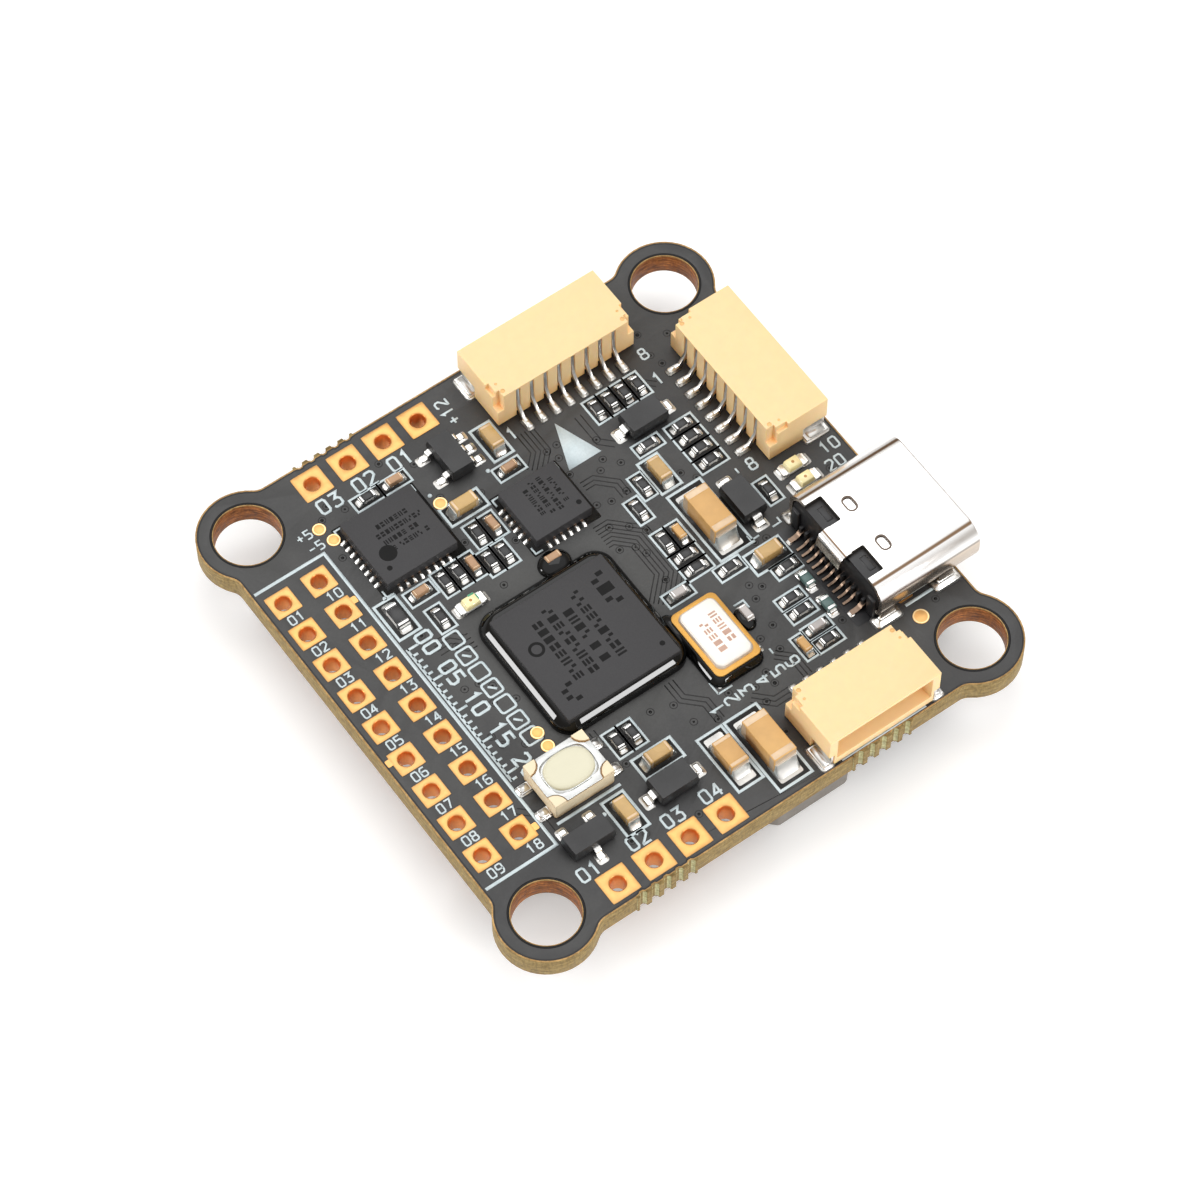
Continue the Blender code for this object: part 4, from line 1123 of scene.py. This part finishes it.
def make_leaded_parts():
    pins = (-0.95, 0.0, 0.95)
    five = [(x, 1, 0.4, 0.6) for x in pins] + [(x, -1, 0.4, 0.6) for x in pins[::2]]
    three = [(-0.95, 1, 0.42, 0.55), (0.95, 1, 0.42, 0.55), (0.0, -1, 0.42, 0.55)]
    strap = [(0.0, 1, 0.6, 0.5), (0.0, -1, 0.6, 0.5)]
    six = [(x, side, 0.4, 0.6) for x in pins for side in (-1, 1)]
    many = [(0.65 * (i - 6.5), side, 0.25, 0.9) for i in range(14) for side in (-1, 1)]
    for node, size, leads, turn in (
        ("five_pin_regulator", (2.9, 1.6, 1.1), five, -90),
        ("three_pin_regulator", (2.9, 1.5, 1.05), three, 0),
        ("diode_a", (1.7, 2.65, 1.05), strap, 90),
        ("diode_b", (1.7, 2.65, 1.05), strap, 0),
        ("diode_c", (1.7, 2.65, 1.05), strap, 90),
        ("step_down_converter_a", (2.9, 1.6, 1.05), six, 0),
        ("step_down_converter_b", (2.9, 1.6, 1.05), six, 0),
        ("video_overlay_chip", (9.7, 4.4, 1.05), many, 90),
    ):
        centre = extent(node)[2]
        below = centre.z < 0
        leaded(node, size, leads, place_on(centre.x, centre.y, 0 if below else TOP, turn, below))


# ---------------------------------------------------------------- flat chips

# each is the rectangles of one plain mark, as x0, y0, x1, y1 in a unit square
MARK_SHAPES = (
    ((0.0, 0.0, 0.46, 0.46), (0.54, 0.54, 1.0, 1.0)),
    ((0.0, 0.0, 1.0, 1.0),),
    ((0.0, 0.54, 0.46, 1.0), (0.54, 0.0, 1.0, 0.46)),
    ((0.0, 0.0, 1.0, 0.42), (0.0, 0.6, 1.0, 1.0)),
    ((0.0, 0.0, 1.0, 0.24), (0.0, 0.38, 1.0, 0.62), (0.0, 0.76, 1.0, 1.0)),
    ((0.0, 0.0, 0.36, 1.0), (0.64, 0.0, 1.0, 1.0)),
)


def marks(bm, centre, top, rows, turn, height, pitch, seed, material=1, kinds=6):
    """Rows of plain ticks and blocks, as a laser leaves on a package."""
    dice = random.Random(seed)
    width = height * 0.66
    for row, length in enumerate(rows):
        u, v = -length / 2, ((len(rows) - 1) / 2 - row) * pitch - height / 2
        while u < length / 2:
            for x0, y0, x1, y1 in dice.choice(MARK_SHAPES[:kinds]):
                corners = rectangle(u + x0 * width, v + y0 * height, u + x1 * width, v + y1 * height)
                plate(bm, turned(corners, centre, turn), top - 0.004, top + 0.0025, material)
            u += width * (1.42 if dice.random() < 0.85 else 2.3)


def make_square_chips():
    """The two small packages with pads along their edges, and the mask window round each."""
    pin_pitch, round_mark = 0.5, 0.17
    # the two sides that face away from the photo's camera show less solder
    reaches = (0.11, 0.2, 0.2, 0.11)
    for node, pins, rows, turn, dot, mark_height, mark_pitch in (
        ("radio_chip", 8, (2.2, 2.9, 2.6, 2.8), 0, (-0.75, -0.85), 0.34, 0.58),
        ("motion_sensor", 6, (1.9, 2.3, 2.5, 1.9), 90, (0.42, -0.75), 0.32, 0.56),
    ):
        _, high, centre, size = extent(node)
        half, height = size.x, high.z - TOP
        bm = bmesh.new()
        rounded_box(bm, (-half, -half, 0.06), (half, half, height), 0.045, 3)
        dots = [(math.copysign(half, dot[0]) - dot[0], -half - dot[1], round_mark, 20)]
        if node == "radio_chip":
            dots.append((-half + 1.25, -half + 1.75, 0.55, 32))
        for x, y, radius, steps in dots:
            plate(bm, circle((x, y), radius, steps), height - 0.004, height + 0.002, 3)
        marks(bm, (0.25, 0.2), height, rows, turn, mark_height, mark_pitch, pins, 3)
        for side, reach in enumerate(reaches):
            facing = place_on(0, 0, 0, 90 * side)
            for i in range(pins):
                x, pin_half = (i - (pins - 1) / 2) * pin_pitch, 0.11
                pin = ((x - pin_half, half - 0.1, 0.05), (x + pin_half, half + 0.012, 0.25))
                rounded_box(bm, *pin, 0.02, 1, 4, facing)
                foot = (0.13, reach + 0.04)
                solder_mound(bm, x, half + reach, SOLDER_FOOT, foot, (0.08, 0.1), 0.15, 2, 1.2, facing)
        moved(bm, place_on(centre.x, centre.y, TOP))
        stand_in(node, bm, (CHIP, TIN, SOLDER, MARK, BRONZE), "chip_plastic", sharp=50)
        bm = bmesh.new()
        window = rounded_rectangle(half + 0.42, half + 0.42, 0.1, 2, (centre.x, centre.y))
        plate(bm, window, TOP + 0.0046, TOP + 0.0060)
        piece(f"{node}_mask_window", bm, MASK_BLACK, "solder_mask")


def make_flat_chips():
    make_square_chips()

    low, high, centre, _ = extent("microcontroller")
    bm = bmesh.new()
    rounded_box(bm, low, high, 0.07, 3)
    plate(bm, circle((high.x - 0.62, low.y + 1.0), 0.17, 24), high.z - 0.004, high.z + 0.002, 1)
    marks(bm, (centre.x - 0.35, centre.y + 0.2), high.z, (4.6, 4.9, 4.4, 4.9), 90, 0.62, 0.98, 5)
    marks(bm, (high.x - 1.15, high.y - 2.1), high.z, (2.4,), 90, 0.95, 1.0, 2, kinds=3)
    marks(bm, (low.x + 1.15, low.y + 1.5), high.z, (1.5,), 90, 0.85, 1.0, 4, kinds=3)
    ring(bm, (low.x + 1.2, centre.y + 0.9), 0.5, 0.32, high.z - 0.004, high.z + 0.0025, 36, 1)
    stand_in("microcontroller", bm, (CHIP, MARK), "chip_plastic", sharp=50)

    low, high, centre, half = extent("flash_memory")
    bm = bmesh.new()
    rounded_box(bm, low, (high.x, high.y, -0.05), 0.05, 3)
    marks(bm, (centre.x, centre.y), low.z, (3.0, 3.6), 0, 0.5, 0.9, 9)
    plate(bm, circle((low.x + 0.8, high.y - 0.8), 0.25, 24), low.z - 0.002, low.z + 0.004, 1)
    for side in (-1, 1):
        for i in range(4):
            pad = (centre.x + side * (half.x + 0.12), centre.y + (i - 1.5) * PITCH / 2)
            solder_mound(bm, *pad, 0.0, (0.3, 0.2), (0.08, 0.16), -0.3, 2)
    stand_in("flash_memory", bm, (CHIP, MARK, SOLDER), "chip_plastic", sharp=50)

    low, high, centre, _ = extent("barometer")
    bm = bmesh.new()
    rounded_box(bm, low, (high.x, high.y, -0.05), 0.05, 3)
    plate(bm, circle((centre.x + 0.4, centre.y + 0.5), 0.16, 24), low.z - 0.003, low.z + 0.004, 1)
    stand_in("barometer", bm, (LID, MARK), "lid", sharp=50)


def dome(bm, centre, half, height, steps=24, rings=8):
    """A flattened half ball that stands on the board."""
    base = circle((0.0, 0.0), 1.0, steps)
    loops = [[(centre[0] + x * half[0], centre[1] + y * half[1], TOP - 0.15) for x, y in base]]
    for i in range(rings):
        angle = math.radians(90 * i / rings)
        reach = math.cos(angle)
        outline = [(centre[0] + x * half[0] * reach, centre[1] + y * half[1] * reach) for x, y in base]
        loops += levels(outline, TOP + height * math.sin(angle))
    loft(bm, loops)


def sloped_fill(bm, half_x, half_y, corner, centre, profile, stretch=1.0):
    """Resin round a package, its sides climbing through the profile's insets and heights."""
    loops = []
    for inward, z in smooth_path(profile, 3):
        size = (half_x - inward, half_y - inward, corner - inward * 0.8)
        loops += levels(rounded_rectangle(*size, 14, (centre.x, centre.y)), TOP + z * stretch)
    loft(bm, loops)


def make_underfill():
    _, high, centre, half = extent("microcontroller_underfill")
    bm = bmesh.new()
    # drips: one over the small capacitor in the resin, three along the edges
    drips = (
        ((SMALL_FILLED[0][0] - 0.05, SMALL_FILLED[0][1] - 0.25), (1.1, 0.95), 0.55),
        ((1.45, -4.95), (0.7, 1.45), 0.5),
        ((-6.9, 1.6), (1.1, 0.9), 0.7),
        ((5.2, -6.5), (0.62, 0.85), 0.38),
    )
    for place, drip_half, height in drips:
        dome(bm, place, drip_half, height)
    skin = grown(bm, 14, 0.065, 0.5)
    # the slopes stay at 45 degrees for a while, then flatten towards the package
    crest = 0.92
    profile = ((0.0, -0.15), (0.0, 0.36), (0.32, 0.68), (0.62, 0.90), (0.85, crest))
    sloped_fill(skin, half.x, half.y, 1.3, centre, profile, (high.z - TOP) / crest)
    _, _, centre, half = extent("crystal_base")
    profile = ((0.0, -0.15), (0.0, 0.16), (0.24, 0.40), (0.40, 0.52), (0.60, 0.54))
    sloped_fill(skin, half.x + 0.27, half.y + 0.24, 0.75, centre - Vector((0.13, 0.12, 0.0)), profile)
    stand_in("microcontroller_underfill", skin, EPOXY, "epoxy")


def make_crystal():
    low, high, centre, half = extent("crystal_base")
    middle = (centre.x, centre.y)
    rim_foot = high.z - 0.14
    bm = bmesh.new()
    outline = rounded_rectangle(half.x, half.y, 0.42, 8, middle)
    plate(bm, outline, low.z, rim_foot)
    inner = rounded_rectangle(half.x - 0.04, half.y - 0.04, 0.38, 8, middle)
    loft(bm, levels(outline, rim_foot, high.z - 0.03) + levels(inner, high.z), 1)
    for x, y in ((low.x + 0.15, low.y - 0.02), (high.x + 0.02, low.y + 0.55)):
        solder_mound(bm, x, y, TOP + SOLDER_FOOT, (0.32, 0.26), (0.15, 0.08), 0.25, 2)
    stand_in("crystal_base", bm, (BLACK, CRYSTAL_RIM, SOLDER), "gold", sharp=40)

    low, high, _, half = extent("crystal_lid")
    bm = bmesh.new()
    loops = []
    for shrink, z in (
        (0.0, low.z - 0.01), (0.0, low.z + 0.05), (0.05, high.z - 0.12), (0.07, high.z - 0.06),
        (0.1, high.z - 0.025), (0.17, high.z),
    ):
        corner = 0.46 - shrink * 0.5
        loops += levels(rounded_rectangle(half.x - shrink, half.y - shrink, corner, 8, middle), z)
    loft(bm, loops)
    marks(bm, (centre.x + 0.1, centre.y), high.z, (2.6, 2.0), 90, 0.5, 0.85, 3)
    stand_in("crystal_lid", bm, (LID, LID_MARK), "lid", sharp=45)


# ---------------------------------------------------------------- ports


def make_ports():
    for name, turn, circuits in (("port_a", 0, 8), ("port_b", -90, 8), ("port_c", 180, 6)):
        refined(f"{name}_housing", CREAM, "port_plastic", bevel=0.05, segments=3)
        refined(f"{name}_contacts", TIN, "tin", bevel=0.025)
        _, high, centre, half = extent(f"{name}_housing")
        # in the port's own axes its mouth faces +Y, its contacts reach out along -Y
        port = place_on(centre.x, centre.y, 0.0, turn)
        half_length, half_depth = max(half.x, half.y), min(half.x, half.y)
        contact_ends = [(port.inverted() @ corner).y for corner in extent(f"{name}_contacts")[:2]]
        bm = bmesh.new()
        for i in range(circuits):
            place = (i - (circuits - 1) / 2, min(contact_ends) + 0.26, TOP + SOLDER_FOOT)
            solder_mound(bm, *place, (0.28, 0.5), (0.16, 0.34), 0.27, swell=0.9, place=port)
        for side in ("left", "right"):
            tab = f"{name}_{side}_solder_tab"
            _, _, middle, size = extent(tab)
            foot, top = (size.x + 0.16, size.y + 0.16), (size.x * 0.7, size.y * 0.85)
            solder_mound(bm, middle.x, middle.y, TOP + SOLDER_FOOT, foot, top, 0.3)
            refined(tab, TIN, "tin", bevel=0.03)
        piece(f"{name}_solder", bm, SOLDER, "tin")
        bm = bmesh.new()
        # the small holes near the rear corners of the housing's top are not cut; orange discs are painted
        # there as their shaded insides
        for side in (-1, 1):
            for along, back, radius in ((0.62, 0.36, 0.15), (0.55, 1.0, 0.09)):
                outline = circle((side * (half_length - along), back - half_depth), radius, 18)
                loft(bm, levels(outline, high.z - 0.01, high.z + 0.003), place=port)
        piece(f"{name}_painted_hole_shade", bm, HOLE_SHADE, "port_plastic")


# ---------------------------------------------------------------- USB-C receptacle


def make_usb():
    """The shell with its legs, the insulator with its tongue, the contacts and the solder."""
    _, high, centre, half = extent("usb_shell")
    insulator_low, insulator_high = extent("usb_insulator")[:2]
    shell_foot, wall, pitch = TOP + 0.03, 0.28, 0.5
    middle_y, middle_z = centre.y, (shell_foot + high.z) / 2
    half_y, half_z = half.y, (high.z - shell_foot) / 2
    rear = insulator_low.x + 0.25
    leg_places = [(rear + x, side) for x in (0.55, 4.85) for side in (-1, 1)]
    dimple_places = [(rear + 2.2, middle_y + side * 1.62) for side in (-1, 1)]

    def section(x, inward, radius, steps):
        """The shell's outline across X, shrunk inwards."""
        outline = rounded_rectangle(half_y - inward, half_z - inward, radius, steps)
        return [(x, middle_y + y, middle_z + z) for y, z in outline]

    def across(x, y, z):
        """A place behind the shell whose own +Y is the world's +X."""
        return place_on(x, y, z, -90)

    bm = bmesh.new()
    outer_radius, inner_radius = half_z - 0.25, half_z - wall - 0.2
    loops = []
    for x, inward in (
        (rear, 0.0), (rear + 0.03, 0.0), (high.x - 0.12, 0.0), (high.x - 0.05, 0.02), (high.x - 0.01, 0.07),
        (high.x, 0.13), (high.x - 0.02, 0.2), (high.x - 0.08, wall), (rear + 0.03, wall), (rear, wall),
    ):
        loops.append(section(x, inward, outer_radius + (inner_radius - outer_radius) * inward / wall, 12))
    loft(bm, loops, joined=True)
    bmesh.ops.recalc_face_normals(bm, faces=bm.faces)
    cutter = bmesh.new()
    for side, place in zip((-1, 1), dimple_places):
        y0, y1 = middle_y + side * 1.05, middle_y + side * 3.05
        rounded_box(cutter, (rear - 0.6, y0, middle_z + 0.4), (rear + 1.15, y1, high.z + 0.6), 0.1, 3)
        loops = []
        for reach_x, reach_y, z in ((0.30, 0.50, -0.10), (0.33, 0.53, -0.03), (0.36, 0.56, 0.3)):
            loops += levels(rounded_rectangle(reach_x, reach_y, reach_x - 0.01, 8, place), high.z + z)
        loft(cutter, loops)
    below = ((rear - 0.6, middle_y - 3.7, shell_foot - 0.6), (rear + 1.2, middle_y + 3.7, shell_foot + 0.6))
    rounded_box(cutter, *below, 0.05, 2)
    bmesh.ops.recalc_face_normals(cutter, faces=cutter.faces)
    shell = cut(bm, cutter)
    for x, side in leg_places:
        y0, y1 = middle_y + side * (half_y - 0.01), middle_y + side * (half_y - 0.25)
        rounded_box(shell, (x - 0.5, y0, TOP - 1.3), (x + 0.5, y1, TOP + 1.2), 0.05, 3)
    flap = smooth_path(((0.3, -0.14), (-0.1, -0.14), (-0.42, -0.34), (-0.56, -1.1)))
    strip_path(shell, flap, 0.2, -1.1, 1.1, place=across(rear, middle_y, high.z))
    stand_in("usb_shell", shell, STEEL, "steel", sharp=32)

    bm = bmesh.new()
    for place in dimple_places:
        outer = rounded_rectangle(0.38, 0.58, 0.37, 10, place)
        inner = rounded_rectangle(0.27, 0.46, 0.26, 10, place)
        hoop(bm, outer, inner, high.z - 0.02, high.z + 0.004)
    piece("usb_dimple_rims", bm, DIMPLE, "steel", sharp=40)

    bm = bmesh.new()
    loops = []
    for x, inward in ((rear - 0.04, 0.5), (rear + 0.02, 0.36), (rear + 1.35, 0.36), (rear + 1.4, 0.42)):
        loops.append(section(x, inward, half_z - inward - 0.15, 8))
    loft(bm, loops)
    tongue_end, tongue_half = insulator_high.x, 0.32
    tongue = ((rear + 1.0, middle_y - 3.2, -tongue_half), (tongue_end, middle_y + 3.2, tongue_half))
    rounded_box(bm, *[(x, y, middle_z + z) for x, y, z in tongue], 0.08, 3)
    for side in (-1, 1):
        y0, y1 = middle_y + side * 1.5, middle_y + side * 2.6
        rounded_box(bm, (rear + 0.5, y0, middle_z + 0.8), (rear + 1.0, y1, high.z - 0.32), 0.08, 3)
        y0, y1 = middle_y + side * 3.3, middle_y + side * 4.0
        rounded_box(bm, (insulator_low.x, y0, TOP + 0.06), (rear + 0.2, y1, middle_z + 0.3), 0.12, 3)
    for i in range(13):
        y = middle_y + (i - 6) * pitch
        rounded_box(bm, (rear - 0.3, y - 0.12, TOP + 0.1), (rear + 0.3, y + 0.12, TOP + 0.95), 0.05, 2)
    # painted shadow: a flat black sheet on the board under and behind the insulator
    plate(bm, rounded_rectangle(0.8, 3.95, 0.2, 4, (rear - 0.45, middle_y)), TOP + 0.0065, TOP + 0.02)
    stand_in("usb_insulator", bm, BLACK, "black_plastic", sharp=40)

    bm = bmesh.new()
    tail = smooth_path(((0.25, 0.5), (-0.25, 0.46), (-0.5, 0.15), (-1.05, 0.11)))
    for i in range(10):
        strip_path(bm, tail, 0.08, -0.075, 0.075, place=across(rear, middle_y + pitch * (i - 4.5), TOP))
    for side in (-1, 1):
        place = across(rear, middle_y + side * 3.0, TOP)
        strip_path(bm, tail, 0.08, -0.16, 0.16, place=place)
        solder_mound(bm, 0, -1.0, 0.02, (0.192, 0.2), (0.144, 0.1), 0.1, 1, place=place)
    for i in range(12):
        y, z = middle_y + (i - 5.5) * pitch, middle_z + tongue_half
        rounded_box(bm, (rear + 2.2, y - 0.12, z), (tongue_end - 0.12, y + 0.12, z + 0.04), 0.015, 1, 2)
    stand_in("usb_contacts", bm, (BRONZE, SOLDER, GOLD), "gold", sharp=45)

    bm = bmesh.new()
    for x, side in leg_places:
        y = middle_y + side * (half_y - 0.1)
        solder_mound(bm, x, y, TOP + SOLDER_FOOT, (1.0, 0.5), (0.6, 0.12), 0.42)
        solder_mound(bm, x, y, -SOLDER_FOOT, (1.0, 0.45), (0.5, 0.12), -0.3)
    piece("usb_leg_solder", bm, SOLDER, "tin")


# ---------------------------------------------------------------- boot switch


def oval(half_x, half_y, fullness=2.35, steps=48, centre=(0.0, 0.0)):
    """An ellipse at fullness 2, nearer to a rectangle above that."""
    points = []
    for i in range(steps):
        across, along = math.cos(2 * math.pi * i / steps), math.sin(2 * math.pi * i / steps)
        x = math.copysign(abs(across) ** (2 / fullness), across) * half_x
        y = math.copysign(abs(along) ** (2 / fullness), along) * half_y
        points.append((centre[0] + x, centre[1] + y))
    return points


def make_switch():
    middle = extent("boot_switch_base")[2].xy
    refined("boot_switch_base", SWITCH, "switch_plastic", bevel=0.05, segments=3, bevel_angle=45)
    refined("boot_switch_cover", COVER, "steel", bevel=0.035, bevel_angle=45)
    bm = bmesh.new()
    cover_top = extent("boot_switch_cover")[1].z
    outer, inner = oval(1.60, 1.22, 4, centre=middle), oval(1.45, 1.07, centre=middle)
    hoop(bm, outer, inner, cover_top - 0.002, cover_top + 0.004)
    piece("boot_switch_cover_lip", bm, COVER, "steel")
    snap = refined("boot_switch_dome", STEEL, "steel", sharp=60)
    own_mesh(snap)

    low, high, _, half = extent("boot_button")
    flange_foot, flange_top, stem = low.z + 0.12, low.z + 0.3, 0.48
    loops = levels(oval(stem, stem, 2, centre=middle), low.z, flange_foot)
    for shrink, z in (
        (0.02, flange_foot), (0.0, flange_foot + 0.03), (0.0, flange_top - 0.02), (0.14, flange_top),
        (0.14, high.z - 0.2), (0.17, high.z - 0.11), (0.25, high.z - 0.04), (0.36, high.z - 0.008),
        (0.6, high.z),
    ):
        loops += levels(oval(half.x - shrink, half.y - shrink, centre=middle), z)
    bm = bmesh.new()
    loft(bm, loops)
    stand_in("boot_button", bm, BUTTON, "switch_plastic", body="boot_button", sharp=45)

    bm = bmesh.new()
    for side, sign in (("left", -1), ("right", 1)):
        node = f"boot_switch_{side}_terminals"
        refined(node, TIN, "tin", bevel=0.03)
        _, _, centre, half = extent(node)
        for sy in (-1, 1):
            place = (centre.x + sign * (half.x - 0.3), middle.y + sy * 0.98, TOP + SOLDER_FOOT)
            solder_mound(bm, *place, (0.52, 0.42), (0.3, 0.24), 0.26)
    piece("boot_switch_solder", bm, SOLDER, "tin")


# ---------------------------------------------------------------- underside


def make_underside():
    for node, material, slot in (
        ("power_inductor_a", FERRITE, "ferrite"), ("power_inductor_b", FERRITE, "ferrite"),
        ("input_capacitor_a", CERAMIC_TAN, "capacitor"), ("input_capacitor_b", CERAMIC_TAN, "capacitor"),
    ):
        refined(node, material, slot, bevel=0.08, segments=3, bevel_angle=25)
        _, _, centre, half = extent(node)
        axes = place_on(centre.x, centre.y, 0.0, 0 if half.x >= half.y else 90)
        reach = max(half.x, half.y)
        bm = bmesh.new()
        for side in (-1, 1):
            solder_mound(bm, side * reach, 0.0, -SOLDER_FOOT, (0.45, 1.3), (0.1, 1.1), -0.6, place=axes)
        piece(f"{node}_solder", bm, SOLDER, "tin")

    bm = bmesh.new()
    gaps = dict.fromkeys(
        ("flash_memory", "barometer", "input_capacitor_a", "input_capacitor_b", "video_overlay_chip"), 0.35
    )
    gaps.update({"step_down_converter_a": 0.2, "step_down_converter_b": 0.2})
    for node, gap in gaps.items():
        low, high = extent(node)[:2]
        ribbon(bm, rectangle(low.x, low.y, high.x, high.y, -gap), 0.14, -SILK_RISE, -SILK_FOOT, True)
    for number, (_, y) in enumerate(HEADER, 1):
        numeral(bm, str(number), (-14.85 if number <= HEADER_ROWS else -12.1, y), 0.55, face=-1)
    piece("silkscreen_back", bm, SILK, "solder_mask")


# ---------------------------------------------------------------- scene


def make_floor():
    bm = bmesh.new()
    bmesh.ops.create_grid(bm, x_segments=40, y_segments=40, size=1500)
    bmesh.ops.translate(bm, vec=(0.0, 0.0, LOWEST - 0.01), verts=bm.verts)
    floor = object_of("floor", bm)
    floor.data.materials.append(floor_finish("floor_white"))


def aimed(name, data, place, target=Vector()):
    """A lamp or camera at a place in millimetres, turned to the target."""
    obj = bpy.data.objects.new(name, data)
    bpy.context.scene.collection.objects.link(obj)
    obj.location = Vector(place) * MM
    obj.rotation_euler = (target - Vector(place)).to_track_quat("-Z", "Y").to_euler()
    return obj


def softbox(name, place, side, power):
    """A square lamp that faces the board."""
    light = bpy.data.lights.new(name, "AREA")
    light.shape = "RECTANGLE"
    light.size = light.size_y = side * MM
    light.energy = power
    aimed(name, light, place)


def make_light():
    world = bpy.data.worlds.new("studio")
    bpy.context.scene.world = world
    world.use_nodes = True
    tree = world.node_tree
    where = add(tree, "ShaderNodeTexCoord", {}, "Generated")
    height = add(tree, "ShaderNodeSeparateXYZ", {"Vector": where}, "Z")
    sky = ramp(tree, height, (
        (0.0, 0.80), (0.14, (0.70, 0.69, 0.68)), (0.26, (0.36, 0.33, 0.30)),
        (0.52, (0.46, 0.43, 0.40)), (0.72, 0.98), (1.0, 1.0),
    ))
    feed(tree, tree.nodes["Background"], {"Color": sky, "Strength": 1.15})
    softbox("overhead", (120, 190, 420), 300, 0.42)
    softbox("left", (-347, 161, 116), 75, 0.42)
    softbox("front", (116, -347, 161), 75, 0.42)


def make_camera():
    camera = bpy.data.cameras.new("camera")
    camera.lens = 142.02
    camera.sensor_width = 36.0
    camera.clip_start = 0.01
    camera.clip_end = 10.0
    azimuth, elevation, distance = math.radians(-35.7103), math.radians(60.2228), 277.606
    across = math.cos(elevation)
    away = Vector((math.sin(azimuth) * across, -math.cos(azimuth) * across, math.sin(elevation)))
    target = Vector((-0.904, -0.486, TOP))
    bpy.context.scene.camera = aimed("camera", camera, target + away * distance, target)


bpy.context.scene.view_settings.view_transform = "Standard"
outline = make_core()
make_borders(outline)
make_tab_faces(outline)
make_pads()
make_traces()
make_silk_outlines()
make_silk_numerals()
make_silk_scale()
make_small_parts()
make_leds()
make_protection()
make_leaded_parts()
make_flat_chips()
make_underfill()
make_crystal()
make_ports()
make_usb()
make_switch()
make_underside()
make_floor()
make_light()
make_camera()
